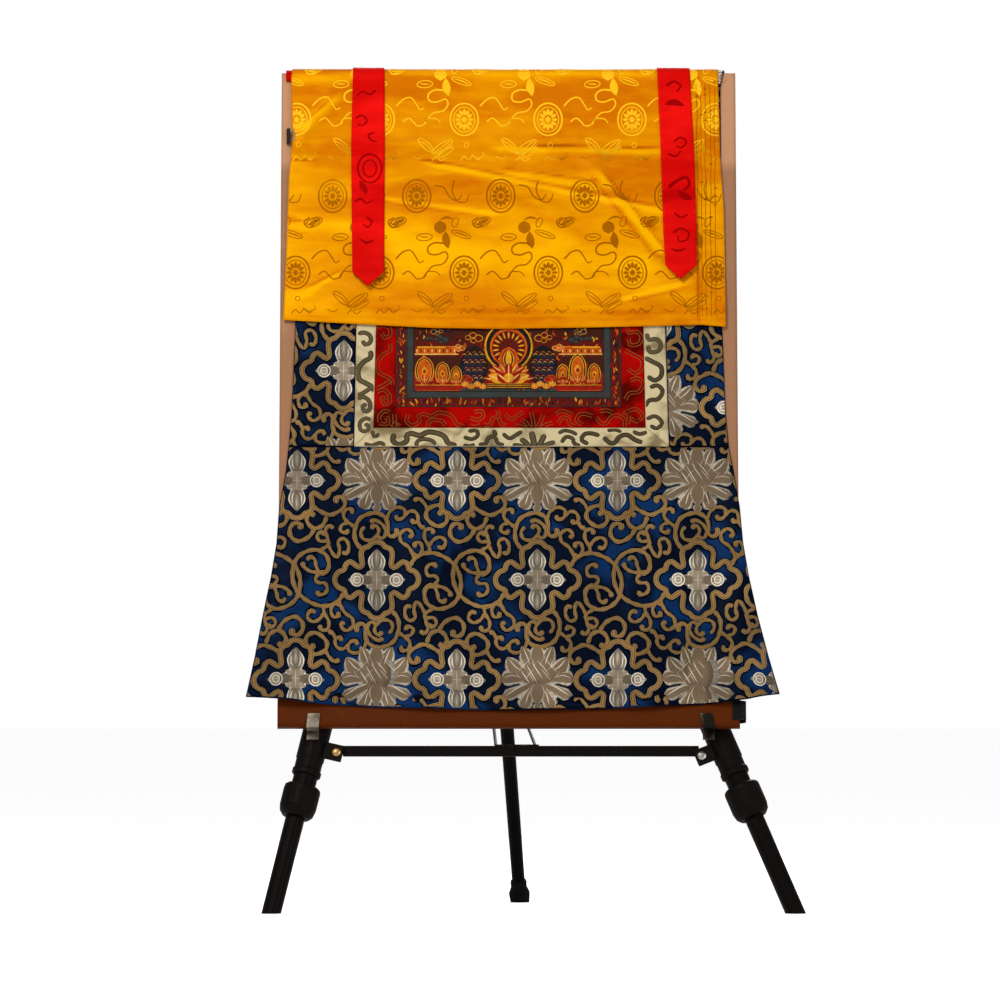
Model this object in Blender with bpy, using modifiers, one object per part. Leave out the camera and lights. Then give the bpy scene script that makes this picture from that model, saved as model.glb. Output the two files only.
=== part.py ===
"""A silk-mounted scroll painting that hangs over a leaning board on a tripod easel.

The board leans back, its lower edge on two hooks. Everything on it is worked out in the board's own
axes: u across the board, s up its face and n straight out of its face. Cloth that goes over the top
edge is laid along a path v, which is s on the face and runs on over the edge and down the back.
All sizes are in metres, +Z is up and the front faces -Y.
"""

import math

import bmesh
import bpy
import numpy as np
from mathutils import Matrix, Vector

# Board
BOARD_WIDTH = 0.610
BOARD_HEIGHT = 0.914
BOARD_THICK = 0.018
BOARD_LEAN = math.radians(16.3)
BOARD_X = -0.0221
BOARD_Y = -0.2618
BOARD_BASE_Z = 0.246
RAIL_WIDTH = 0.060
EDGE_RADIUS = 0.005
EDGE_STEPS = 3
PANEL_THICK = 0.006
PANEL_INSET = 0.0006

# Gaps between pieces that touch in the real thing
GAP = 0.0003
SEAM_GAP = 0.0005

# Cloth thicknesses and the places of the layers above the board's face
BROCADE_THICK = 0.0015
STRIP_THICK = 0.0013
PAINTING_THICK = 0.0012
VEIL_THICK = 0.0012
RIBBON_THICK = 0.0012
LAYER_GAP = 0.0007
BASE_LIFT = 0.0004
EDGE_CLEAR = 0.0021
VEIL_LIFT = BROCADE_THICK + LAYER_GAP
RIBBON_LIFT = VEIL_THICK + 0.0009

# The path over the top edge is measured this far above the board
PATH_OFFSET = 0.003
FACE_END = BOARD_HEIGHT - EDGE_RADIUS
ARC_LENGTH = (EDGE_RADIUS + PATH_OFFSET) * math.pi / 2
TOP_LENGTH = BOARD_THICK - 2 * EDGE_RADIUS
BACK_START = FACE_END + 2 * ARC_LENGTH + TOP_LENGTH
BROCADE_TAIL = 0.095
VEIL_TAIL = 0.080
RIBBON_TAIL = 0.060
UNDER_CLOTH_TAIL = 0.040

# Side edges of the brocade: height on the face, left edge, right edge
BROCADE_SIDES = (
    # s, left, right
    (0.021, -0.3500, 0.3625),
    (0.045, -0.3455, 0.3570),
    (0.095, -0.3350, 0.3425),
    (0.148, -0.3255, 0.3290),
    (0.204, -0.3145, 0.3175),
    (0.250, -0.3075, 0.3105),
    (0.300, -0.3045, 0.3065),
    (0.350, -0.2960, 0.2990),
    (0.386, -0.2925, 0.2925),
    (0.430, -0.2890, 0.2888),
    (0.549, -0.2848, 0.2848),
    (0.892, -0.2835, 0.2845),
)

# The rolled hem of the brocade: place across, height on the face
BROCADE_HEM = (
    # u, s
    (-0.3461, 0.0417),
    (-0.3090, 0.0359),
    (-0.2601, 0.0308),
    (-0.1723, 0.0257),
    (-0.0115, 0.0212),
    (0.1104, 0.0227),
    (0.1836, 0.0257),
    (0.2759, 0.0308),
    (0.3155, 0.0345),
    (0.3568, 0.0461),
)

# Soft swells of the brocade's skirt, each a smooth ridge that fades out upwards
SKIRT_SWELLS = (
    # u at the top, u at the hem, s where it fades out, height at the hem, half-width
    (-0.245, -0.290, 0.400, 0.0085, 0.040),
    (-0.095, -0.100, 0.430, 0.0050, 0.045),
    (0.040, 0.045, 0.380, 0.0040, 0.055),
    (0.180, 0.180, 0.420, 0.0060, 0.042),
    (0.295, 0.325, 0.400, 0.0090, 0.034),
)
SWELL_FULL = 0.25
WING_START = 0.300
WING_DROOP = 4.0

# The painting and the borders round it: height of the lower and upper edge, and the four corners
SEAM_S = 0.3855
SIDE_TOP = 0.892
FRAMES = (
    # name, s low, s high, left low, right low, left high, right high
    ("painting", 0.4410, 0.8380, -0.1500, 0.1500, -0.1500, 0.1505),
    ("red", 0.4120, 0.8650, -0.1795, 0.1820, -0.1705, 0.1740),
    ("cream", 0.3855, 0.8920, -0.2055, 0.2130, -0.1985, 0.2000),
)
STRIP_COLUMNS = 10

# The gold veil: path place, left edge, right edge, and its hem
VEIL_SIDES = (
    # v, left, right
    (0.549, -0.3010, 0.2898),
    (0.647, -0.2974, 0.2890),
    (0.718, -0.2955, 0.2882),
    (0.767, -0.2941, 0.2850),
    (0.803, -0.2905, 0.2833),
    (0.817, -0.2890, 0.2832),
    (0.845, -0.2912, 0.2830),
    (0.902, -0.2922, 0.2814),
    (0.930, -0.2890, 0.2814),
    (1.030, -0.2890, 0.2814),
)
VEIL_HEM = (
    # u, s
    (-0.3008, 0.5616),
    (-0.2075, 0.5560),
    (-0.1035, 0.5504),
    (-0.0115, 0.5490),
    (0.1151, 0.5511),
    (0.2578, 0.5546),
    (0.2898, 0.5518),
)

# Creases of the veil, each a soft ridge from one place to another
VEIL_CREASES = (
    # u, s at one end, u, s at the other, height, half-width
    (-0.290, 0.808, 0.280, 0.815, 0.0030, 0.012),
    (-0.166, 0.788, 0.200, 0.705, 0.0030, 0.013),
    (0.105, 0.790, 0.198, 0.640, 0.0032, 0.012),
    (-0.290, 0.800, -0.235, 0.885, 0.0028, 0.011),
    (0.160, 0.580, 0.262, 0.618, 0.0024, 0.012),
    (-0.240, 0.575, -0.180, 0.625, 0.0022, 0.013),
)
CREASE_FADE = 0.030

# Ribbons: path place, left edge, right edge, then the point
RIBBONS = {
    "ribbon_left": (
        # v, left, right
        (0.627, -0.2087, -0.1668),
        (0.700, -0.2098, -0.1662),
        (0.810, -0.2112, -0.1659),
        (0.917, -0.2091, -0.1668),
        (1.010, -0.2091, -0.1668),
    ),
    "ribbon_right": (
        # v, left, right
        (0.637, 0.2090, 0.2511),
        (0.688, 0.2068, 0.2513),
        (0.796, 0.2040, 0.2489),
        (0.920, 0.1994, 0.2431),
        (1.010, 0.1994, 0.2431),
    ),
}
RIBBON_POINT = 0.021
RIBBON_STAND_OFF = 0.0065
RIBBON_STAND_LENGTH = 0.070

# A strip of red cloth whose corner shows beside the veil
UNDER_CLOTH = (-0.2990, -0.2850)
UNDER_CLOTH_LOW = 0.9000

# Clips on the board's side edges
CLIP_LEFT_S = 0.821
CLIP_LEFT_U = -0.2978
CLIP_LENGTH = 0.020
CLIP_DEPTH = 0.0085
CLIP_WIDTH = 0.0050
WIRE_RADIUS = 0.0008
CLIP_RIGHT_S = 0.022
CLIP_RIGHT_LENGTH = 0.026

# Easel: places on the floor and at the hub, measured from the board's middle
HUB_U = -0.0545
HUB_LOW_S = 0.745
HUB_HIGH_S = 0.805
HUB_HALF_WIDTH = 0.043
HUB_DEPTH = 0.074
LEG_STAND_OFF = 0.0212
LEG_SPACING = 0.022
LEFT_FOOT_X = -0.3122
RIGHT_FOOT_X = 0.3770
REAR_FOOT = Vector((0.0160, 0.5550, 0.0))
REAR_HUB_OFFSET = 0.034
HINGE_Z = 0.955
UPPER_RADIUS = 0.0160
LOWER_RADIUS = 0.0127
SLEEVE_RADIUS = 0.0188
KNOB_RADIUS = 0.0245
KNOB_LOW_Z = 0.1260
KNOB_HIGH_Z = 0.1660
JUNCTION_Z = 0.1440
SLEEVE_LOW_Z = 0.2010
SLEEVE_HIGH_Z = 0.2900
RING_LOW_Z = 0.1800
RING_HIGH_Z = 0.1880
REAR_TOP_RADIUS = 0.0115
REAR_LOW_RADIUS = 0.0088
REAR_FOOT_HIGH = 0.031
SIDES = 24

# Crossbar and what it carries
BAR_Z = 0.2135
BAR_HEIGHT = 0.0142
BAR_THICK = 0.0050
BAR_LEFT_X = -0.2190
BAR_RIGHT_X = 0.2510
BAR_MIDDLE_X = 0.0080
EAR_THICK = 0.0050
EAR_HEIGHT = 0.0225
EAR_OFFSET = 0.0100
EAR_REACH = 0.0413
BOLT_INSET = 0.0085
BOLT_RADIUS = 0.0061
BOLT_HEAD = 0.0028
PLATE_LEFT_X = -0.0190
PLATE_RIGHT_X = 0.0400
PLATE_HEIGHT = 0.0100
PLATE_THICK = 0.0040
PLATE_RISE = 0.0033
COLLAR_Z = 0.2720
COLLAR_HALF = 0.0080
COLLAR_RADIUS = 0.0165
STRUT_RADIUS = 0.0021

# Hooks that hold the board's lower edge
HOOKS = (
    # name, u of its middle at the board's lower edge, lean of its lip across per height, height
    ("hook_left", -0.2585, 0.10, 0.0170),
    ("hook_right", 0.2640, -0.24, 0.0170),
)
HOOK_WIDTH = 0.0160
HOOK_THICK = 0.0022

COLOURS = {
    # name: base colour, roughness, metallic
    "brocade": ((0.012, 0.035, 0.12), 0.45, 0.0),
    "cream": ((0.72, 0.63, 0.43), 0.55, 0.0),
    "red": ((0.62, 0.01, 0.01), 0.45, 0.0),
    "painting": ((0.35, 0.09, 0.03), 0.25, 0.0),
    "veil": ((0.83, 0.42, 0.01), 0.40, 0.0),
    "ribbon": ((0.78, 0.01, 0.01), 0.45, 0.0),
    "board": ((0.26, 0.11, 0.05), 0.60, 0.0),
    "black": ((0.012, 0.011, 0.011), 0.45, 0.2),
    "rubber": ((0.010, 0.010, 0.010), 0.80, 0.0),
    "steel": ((0.55, 0.55, 0.52), 0.30, 1.0),
    "brass": ((0.70, 0.42, 0.18), 0.30, 1.0),
}


def clear_scene():
    """Removes whatever objects the scene starts with."""
    for old in list(bpy.data.objects):
        bpy.data.objects.remove(old, do_unlink=True)


def board_frame():
    """The board's own axes as a matrix: u, s and n, from the middle of its lower front edge."""
    lean = BOARD_LEAN
    across = Vector((1.0, 0.0, 0.0))
    up = Vector((0.0, math.sin(lean), math.cos(lean)))
    out = Vector((0.0, -math.cos(lean), math.sin(lean)))
    place = Vector((BOARD_X, BOARD_Y, BOARD_BASE_Z))
    frame = Matrix((across, up, out)).transposed().to_4x4()
    frame.translation = place
    return frame


BOARD = board_frame()
BOARD_BACK = BOARD.to_3x3() @ Vector((0.0, 0.0, -1.0))
WORLD_BACK = Vector((0.0, 1.0, 0.0))


def on_board(u, s, n):
    """A place in the world from the board's own axes."""
    return BOARD @ Vector((u, s, n))


def material(name):
    """The named finish as a Principled material, made once."""
    found = bpy.data.materials.get(name)
    if found:
        return found
    colour, roughness, metallic = COLOURS[name]
    made = bpy.data.materials.new(name)
    made.use_nodes = True
    shader = made.node_tree.nodes["Principled BSDF"]
    shader.inputs["Base Color"].default_value = (*colour, 1.0)
    shader.inputs["Roughness"].default_value = roughness
    shader.inputs["Metallic"].default_value = metallic
    return made


def own_material(name, piece):
    """A copy of the named finish for one piece."""
    made = material(name).copy()
    made.name = f"{piece}_{name}"
    return made


def add_object(name, mesh, finish, matrix, parts):
    """Puts a mesh into the part's collection as a piece of its own."""
    mesh.materials.clear()
    mesh.materials.append(own_material(finish, name))
    piece = bpy.data.objects.new(name, mesh)
    parts.objects.link(piece)
    piece.matrix_world = matrix
    return piece


def mesh_from(bm, name, smooth_angle=None):
    """Turns a bmesh into a mesh with its faces pointing out."""
    bmesh.ops.recalc_face_normals(bm, faces=bm.faces)
    mesh = bpy.data.meshes.new(name)
    bm.to_mesh(mesh)
    bm.free()
    if smooth_angle is not None:
        mesh.shade_smooth()
        mesh.set_sharp_from_angle(angle=smooth_angle)
    return mesh


def column(rows, index):
    """One column of a table as an array."""
    return np.array([row[index] for row in rows])


def along(rows, place, index):
    """Reads a table's column at a place given by its first column."""
    return float(np.interp(place, column(rows, 0), column(rows, index)))


def smooth_step(x):
    """0 below 0, 1 above 1, and a smooth rise between them."""
    x = min(max(x, 0.0), 1.0)
    return x * x * (3.0 - 2.0 * x)


def path_point(v, d):
    """Height s and depth n of a place v along the cloth's path, a distance d above the board."""
    radius = EDGE_RADIUS + d
    if v <= FACE_END:
        return v, d
    if v <= FACE_END + ARC_LENGTH:
        angle = (v - FACE_END) / ARC_LENGTH * math.pi / 2
        return FACE_END + radius * math.sin(angle), radius * math.cos(angle) - EDGE_RADIUS
    if v <= FACE_END + ARC_LENGTH + TOP_LENGTH:
        return BOARD_HEIGHT + d, -EDGE_RADIUS - (v - FACE_END - ARC_LENGTH)
    back = EDGE_RADIUS - BOARD_THICK
    if v <= BACK_START:
        angle = (v - FACE_END - ARC_LENGTH - TOP_LENGTH) / ARC_LENGTH * math.pi / 2
        return FACE_END + radius * math.cos(angle), back - radius * math.sin(angle)
    return FACE_END - (v - BACK_START), back - radius


def skirt_swell(u, s):
    """Height of the brocade's soft swells at a place on the face."""
    total = 0.0
    for u_top, u_hem, fade, height, half in SKIRT_SWELLS:
        share = min(max((fade - s) / fade, 0.0), 1.0)
        middle = u_top + (u_hem - u_top) * share
        rise = smooth_step(share / (1.0 - SWELL_FULL))
        total += height * rise * math.exp(-(((u - middle) / half) ** 2))
    return total


def wing_droop(u, s):
    """How far the skirt's wings fall back past the board's sides."""
    past = max(abs(u) - WING_START, 0.0)
    return WING_DROOP * past * past


def base_lift(u, v):
    """Distance above the board of the lowest layer: brocade, borders and painting."""
    to_edge = smooth_step((v - (FACE_END - 0.035)) / 0.030)
    lift = BASE_LIFT + (EDGE_CLEAR - BASE_LIFT) * to_edge
    if v < FACE_END:
        beside = smooth_step((abs(u) - 0.262) / 0.030) * smooth_step((0.350 - v) / 0.060)
        lift += (EDGE_CLEAR + 0.0008 - BASE_LIFT) * beside
        lift += skirt_swell(u, v) - wing_droop(u, v)
    return lift


def crease_ridge(u, v, row):
    """Height of one soft ridge of the veil, fading out at both of its ends."""
    u0, v0, u1, v1, height, half = row
    length = math.hypot(u1 - u0, v1 - v0)
    along_u, along_v = (u1 - u0) / length, (v1 - v0) / length
    run = (u - u0) * along_u + (v - v0) * along_v
    off = (v - v0) * along_u - (u - u0) * along_v
    ends = smooth_step(run / CREASE_FADE + 0.5) * smooth_step((length - run) / CREASE_FADE + 0.5)
    return height * ends * math.exp(-((off / half) ** 2))


def veil_lift(u, v):
    """Distance above the board of the gold veil."""
    lift = base_lift(u, max(v, 0.500)) + VEIL_LIFT
    if v < FACE_END:
        lift += sum(crease_ridge(u, v, row) for row in VEIL_CREASES)
        lift += 0.0022 * smooth_step((0.640 - v) / 0.080)
    return lift


def ribbon_lift(u, v, tip):
    """Distance above the board of a ribbon, which stands off the veil towards its tip."""
    off = smooth_step((tip + RIBBON_STAND_LENGTH - v) / RIBBON_STAND_LENGTH)
    return veil_lift(u, v) + RIBBON_LIFT + RIBBON_STAND_OFF * off


def sheet(name, shape, lift, columns, rows, thickness, finish, parts):
    """A piece of cloth: a grid laid by shape(a, b) -> (u, v), lifted off the board, with a thickness.

    columns is how many spaces it has across, and rows the places of its rows from 0 to 1.
    """
    bm = bmesh.new()
    bmesh.ops.create_grid(bm, x_segments=columns, y_segments=len(rows) - 1, size=1.0)
    last = len(rows) - 1
    for vert in bm.verts:
        a = (vert.co.x + 1.0) / 2.0
        b = rows[round((vert.co.y + 1.0) / 2.0 * last)]
        u, v = shape(a, b)
        s, n = path_point(v, lift(u, v))
        vert.co = Vector((u, s, n))
    mesh = bpy.data.meshes.new(name)
    bm.to_mesh(mesh)
    bm.free()
    mesh.shade_smooth()
    piece = add_object(name, mesh, finish, BOARD, parts)
    solid = piece.modifiers.new("thickness", "SOLIDIFY")
    solid.thickness = thickness
    solid.offset = 1.0
    return piece


def even(count):
    """Places of evenly spaced rows from 0 to 1."""
    return [i / count for i in range(count + 1)]


def rows_over_edge(v_low, v_high, face_rows, back_rows):
    """Row places from 0 to 1 for cloth that goes over the top edge, close together at the edges."""
    v = [v_low + (FACE_END - 0.036 - v_low) * i / face_rows for i in range(face_rows + 1)]
    v += [FACE_END - 0.018, FACE_END]
    v += [FACE_END + ARC_LENGTH * i / 3 for i in (1, 2, 3)]
    v += [BACK_START - ARC_LENGTH * (3 - i) / 3 for i in (0, 1, 2, 3)]
    v += [BACK_START + (v_high - BACK_START) * i / back_rows for i in range(1, back_rows + 1)]
    return [(place - v_low) / (v_high - v_low) for place in v]


def quad_shape(corners, inset):
    """shape(a, b) for a flat four-sided piece with straight edges and a seam gap all round."""
    (bl, br, tr, tl) = [Vector(corner) for corner in corners]
    width = ((br - bl).length + (tr - tl).length) / 2.0
    height = ((tl - bl).length + (tr - br).length) / 2.0

    def shape(a, b):
        a = (a * (width - inset) + inset / 2) / width
        b = (b * (height - inset) + inset / 2) / height
        low = bl.lerp(br, a)
        high = tl.lerp(tr, a)
        return tuple(low.lerp(high, b))

    return shape


def frame_corners(name):
    """The four corners of the painting or of a border's outer edge, counter-clockwise."""
    row = next(row for row in FRAMES if row[0] == name)
    _, low, high, left_low, right_low, left_high, right_high = row
    return (left_low, low), (right_low, low), (right_high, high), (left_high, high)


def build_painting_and_borders(parts):
    """The painting and the two mitred borders round it."""
    inner = frame_corners("painting")
    rows = even(6)
    sheet("painting", quad_shape(inner, SEAM_GAP), base_lift, 6, rows, PAINTING_THICK, "painting", parts)
    for name in ("red", "cream"):
        outer = frame_corners(name)
        bl, br, tr, tl = outer
        ibl, ibr, itr, itl = inner
        strips = {
            "bottom": (bl, br, ibr, ibl),
            "top": (itl, itr, tr, tl),
            "left": (bl, ibl, itl, tl),
            "right": (ibr, br, tr, itr),
        }
        for side, corners in strips.items():
            flat = side in ("bottom", "top")
            columns = STRIP_COLUMNS if flat else 2
            rows = even(2) if flat else even(STRIP_COLUMNS)
            shape = quad_shape(corners, SEAM_GAP)
            sheet(f"{name}_{side}", shape, base_lift, columns, rows, STRIP_THICK, name, parts)
        inner = outer


def build_brocade(parts):
    """The blue brocade: two side panels, the top panel over the edge, and the flared skirt."""
    bl, br, tr, tl = frame_corners("cream")
    low = SEAM_S + SEAM_GAP / 2
    high = SIDE_TOP - SEAM_GAP / 2

    def left_shape(a, b):
        v = low + (high - low) * b
        inside = bl[0] + (tl[0] - bl[0]) * b - SEAM_GAP / 2
        outside = along(BROCADE_SIDES, v, 1)
        return outside + (inside - outside) * a, v

    def right_shape(a, b):
        v = low + (high - low) * b
        inside = br[0] + (tr[0] - br[0]) * b + SEAM_GAP / 2
        outside = along(BROCADE_SIDES, v, 2)
        return inside + (outside - inside) * a, v

    sheet("brocade_left", left_shape, base_lift, 4, even(12), BROCADE_THICK, "brocade", parts)
    sheet("brocade_right", right_shape, base_lift, 4, even(12), BROCADE_THICK, "brocade", parts)

    top_low = SIDE_TOP + SEAM_GAP / 2
    top_high = BACK_START + BROCADE_TAIL

    def top_shape(a, b):
        v = top_low + (top_high - top_low) * b
        left = along(BROCADE_SIDES, v, 1)
        right = float(np.interp(v, (0.892, 0.925), (0.2850, 0.2906)))
        return left + (right - left) * a, v

    face = [0.0, (FACE_END - 0.006 - top_low) / (top_high - top_low)]
    rows = face + rows_over_edge(top_low, top_high, 1, 2)[3:]
    sheet("brocade_top", top_shape, base_lift, 12, rows, BROCADE_THICK, "brocade", parts)

    def skirt_shape(a, b):
        hem_left, hem_right = BROCADE_HEM[0][0], BROCADE_HEM[-1][0]
        hem_u = hem_left + (hem_right - hem_left) * a
        hem_s = along(BROCADE_HEM, hem_u, 1)
        s = hem_s + (SEAM_S - SEAM_GAP / 2 - hem_s) * b
        left = along(BROCADE_SIDES, s, 1)
        right = along(BROCADE_SIDES, s, 2)
        return left + (right - left) * a, s

    sheet("brocade_bottom", skirt_shape, base_lift, 26, even(15), BROCADE_THICK, "brocade", parts)


def build_veil(parts):
    """The gold veil, from its hem on the front over the top edge to its tail on the back."""
    v_low = 0.549
    v_high = BACK_START + VEIL_TAIL

    def shape(a, b):
        v = v_low + (v_high - v_low) * b
        hem_left, hem_right = VEIL_HEM[0][0], VEIL_HEM[-1][0]
        hem = along(VEIL_HEM, hem_left + (hem_right - hem_left) * a, 1)
        fade = 1.0 - smooth_step((v - v_low) / 0.120)
        v += (hem - v_low) * fade
        left = along(VEIL_SIDES, v, 1)
        right = along(VEIL_SIDES, v, 2)
        return left + (right - left) * a, v

    rows = rows_over_edge(v_low, v_high, 18, 2)
    sheet("veil", shape, veil_lift, 30, rows, VEIL_THICK, "veil", parts)


def build_ribbons(parts):
    """Two red ribbons with pointed ends."""
    v_high = BACK_START + RIBBON_TAIL
    for name, sides in RIBBONS.items():
        v_low = sides[0][0]
        tip = v_low - RIBBON_POINT

        def shape(a, b, sides=sides, v_low=v_low):
            v = v_low + (v_high - v_low) * b
            point = RIBBON_POINT * (1.0 - abs(2.0 * a - 1.0))
            fade = max(1.0 - (v - v_low) / 0.060, 0.0)
            left = along(sides, v, 1)
            right = along(sides, v, 2)
            return left + (right - left) * a, v - point * fade

        def lift(u, v, tip=tip):
            return ribbon_lift(u, v, tip)

        rows = rows_over_edge(v_low, v_high, 16, 2)
        sheet(name, shape, lift, 4, rows, RIBBON_THICK, "ribbon", parts)


def build_under_cloth(parts):
    """A narrow strip of red cloth over the top edge, beside the brocade's top panel."""
    v_high = BACK_START + UNDER_CLOTH_TAIL
    left, right = UNDER_CLOTH

    def shape(a, b):
        v = UNDER_CLOTH_LOW + (v_high - UNDER_CLOTH_LOW) * b
        return left + (right - SEAM_GAP - left) * a, v

    rows = [0.0] + rows_over_edge(UNDER_CLOTH_LOW, v_high, 1, 1)[3:]
    sheet("under_cloth", shape, base_lift, 2, rows, BROCADE_THICK, "ribbon", parts)


def rail_profile():
    """A rail's section, from its outer to its inner edge: rounded outside, square inside."""
    points = []
    for middle_n, start in ((-EDGE_RADIUS, 90.0), (EDGE_RADIUS - BOARD_THICK, 180.0)):
        for step in range(EDGE_STEPS + 1):
            angle = math.radians(start + 90.0 * step / EDGE_STEPS)
            across = EDGE_RADIUS + EDGE_RADIUS * math.cos(angle)
            points.append((across, middle_n + EDGE_RADIUS * math.sin(angle)))
    points += [(RAIL_WIDTH, -BOARD_THICK), (RAIL_WIDTH, 0.0)]
    return points


def build_rail(name, length, turn, middle, parts):
    """One mitred rail, made along its own length and turned into its place on the board."""
    bm = bmesh.new()
    half = length / 2.0
    section = [bm.verts.new((-half, across, n)) for across, n in rail_profile()]
    face = bm.faces.new(section)
    made = bmesh.ops.extrude_face_region(bm, geom=[face])
    moved = [item for item in made["geom"] if isinstance(item, bmesh.types.BMVert)]
    bmesh.ops.translate(bm, verts=moved, vec=(length, 0.0, 0.0))
    for side in (-1.0, 1.0):
        corner = Vector((side * (half - GAP / 2), 0.0, 0.0))
        normal = Vector((side, 1.0, 0.0)).normalized()
        everything = bm.verts[:] + bm.edges[:] + bm.faces[:]
        cut = bmesh.ops.bisect_plane(
            bm, geom=everything, plane_co=corner, plane_no=normal, clear_outer=True
        )
        rim = [item for item in cut["geom_cut"] if isinstance(item, bmesh.types.BMEdge)]
        bmesh.ops.holes_fill(bm, edges=rim)
    mesh = mesh_from(bm, name, math.radians(35.0))
    place = Matrix.Translation((middle[0], middle[1], 0.0)) @ Matrix.Rotation(turn, 4, "Z")
    return add_object(name, mesh, "board", BOARD @ place, parts)


def box_mesh(name, low, high, bevel=0.0):
    """A box from its lowest to its highest corner."""
    bm = bmesh.new()
    bmesh.ops.create_cube(bm, size=1.0)
    low, high = Vector(low), Vector(high)
    bmesh.ops.scale(bm, verts=bm.verts, vec=high - low)
    bmesh.ops.translate(bm, verts=bm.verts, vec=(high + low) / 2.0)
    if bevel:
        bmesh.ops.bevel(
            bm, geom=bm.edges[:], offset=bevel, segments=2, profile=0.5, affect="EDGES"
        )
    return mesh_from(bm, name, math.radians(35.0))


def build_board(parts):
    """Four mitred rails and the thin panel that they hold."""
    half = BOARD_WIDTH / 2.0
    middle = BOARD_HEIGHT / 2.0
    build_rail("rail_bottom", BOARD_WIDTH, 0.0, (0.0, 0.0), parts)
    build_rail("rail_top", BOARD_WIDTH, math.pi, (0.0, BOARD_HEIGHT), parts)
    build_rail("rail_left", BOARD_HEIGHT, -math.pi / 2, (-half, middle), parts)
    build_rail("rail_right", BOARD_HEIGHT, math.pi / 2, (half, middle), parts)
    inside = RAIL_WIDTH + GAP
    low = (inside - half, inside, -PANEL_INSET - PANEL_THICK)
    high = (half - inside, BOARD_HEIGHT - inside, -PANEL_INSET)
    add_object("back_panel", box_mesh("back_panel", low, high), "board", BOARD, parts)


def outline_solid(name, points, low, high, finish, matrix, parts):
    """A flat outline in local X and Y, made solid from Z low to Z high."""
    bm = bmesh.new()
    face = bm.faces.new([bm.verts.new((x, y, low)) for x, y in points])
    made = bmesh.ops.extrude_face_region(bm, geom=[face])
    moved = [item for item in made["geom"] if isinstance(item, bmesh.types.BMVert)]
    bmesh.ops.translate(bm, verts=moved, vec=(0.0, 0.0, high - low))
    return add_object(name, mesh_from(bm, name, math.radians(35.0)), finish, matrix, parts)


def along_side(u, s):
    """Axes for a section drawn across the board's side edge: X out of the face, Z up the board."""
    turn = Matrix(((0.0, 1.0, 0.0), (0.0, 0.0, 1.0), (1.0, 0.0, 0.0))).to_4x4()
    return BOARD @ Matrix.Translation((u, s, 0.0)) @ turn


def wire_object(name, points, radius, finish, parts, cyclic=False):
    """A bent wire through points on the board's axes, as a mesh."""
    data = bpy.data.curves.new(name, "CURVE")
    data.dimensions = "3D"
    data.bevel_depth = radius
    data.bevel_resolution = 2
    data.use_fill_caps = True
    spline = data.splines.new("POLY")
    spline.points.add(len(points) - 1)
    for point, place in zip(spline.points, points):
        point.co = (*place, 1.0)
    spline.use_cyclic_u = cyclic
    curve = bpy.data.objects.new(f"{name}_curve", data)
    parts.objects.link(curve)
    bpy.context.view_layer.update()
    mesh = bpy.data.meshes.new_from_object(curve.evaluated_get(bpy.context.evaluated_depsgraph_get()))
    bpy.data.objects.remove(curve, do_unlink=True)
    bm = bmesh.new()
    bm.from_mesh(mesh)
    bmesh.ops.remove_doubles(bm, verts=bm.verts, dist=0.00001)
    bm.to_mesh(mesh)
    bm.free()
    mesh.shade_smooth()
    mesh.name = name
    return add_object(name, mesh, finish, BOARD, parts)


def build_clips(parts):
    """The sprung clip beside the veil's left edge with its wire, and the clip on the right edge."""
    height = CLIP_DEPTH
    wedge = (
        # n, u from the clip's left side
        (GAP, 0.0),
        (height * 0.55, 0.0),
        (height, CLIP_WIDTH * 0.35),
        (height, CLIP_WIDTH),
        (height * 0.80, CLIP_WIDTH),
        (height * 0.80, CLIP_WIDTH * 0.55),
        (GAP, CLIP_WIDTH * 0.55),
    )
    place = along_side(CLIP_LEFT_U, CLIP_LEFT_S)
    half = CLIP_LENGTH / 2.0
    outline_solid("clip_left", wedge, -half, half, "black", place, parts)
    u = CLIP_LEFT_U + CLIP_WIDTH + WIRE_RADIUS + GAP
    n = height - WIRE_RADIUS
    reach = 0.0045
    loop = (
        # u, s, n
        (u, CLIP_LEFT_S - 0.0075, n),
        (u + reach * 0.8, CLIP_LEFT_S - 0.0060, n),
        (u + reach, CLIP_LEFT_S - 0.0035, n),
        (u + reach, CLIP_LEFT_S + 0.0035, n),
        (u + reach * 0.8, CLIP_LEFT_S + 0.0060, n),
        (u, CLIP_LEFT_S + 0.0075, n),
    )
    wire_object("wire_left", loop, WIRE_RADIUS, "steel", parts)

    edge = BOARD_WIDTH / 2.0
    gap = GAP
    wall = 0.0012
    jaw = 0.0100
    swell = 0.0080
    deep = -BOARD_THICK
    spring = (
        # n, u past the board's right edge
        (gap, -jaw),
        (gap + wall, -jaw),
        (gap + wall, 0.0010),
        (-0.0020, swell),
        (deep + 0.0020, swell),
        (deep - gap - wall, 0.0010),
        (deep - gap - wall, -jaw),
        (deep - gap, -jaw),
        (deep - gap, gap),
        (deep + 0.0020, swell - wall),
        (-0.0020, swell - wall),
        (gap, gap),
    )
    half = CLIP_RIGHT_LENGTH / 2.0
    place = along_side(edge, CLIP_RIGHT_S)
    outline_solid("clip_right", spring, -half, half, "black", place, parts)


def leg_point(foot_x, side, z):
    """A place on a front leg's axis at a height, on the plane just behind the board."""
    stand_off = (BOARD_THICK + LEG_STAND_OFF) / math.cos(BOARD_LEAN)
    hinge_x = HUB_U + side * LEG_SPACING
    x = foot_x + (hinge_x - foot_x) * z / HINGE_Z
    y = stand_off + (z - BOARD_BASE_Z) * math.tan(BOARD_LEAN)
    return Vector((BOARD_X + x, BOARD_Y + y, z))


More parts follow.
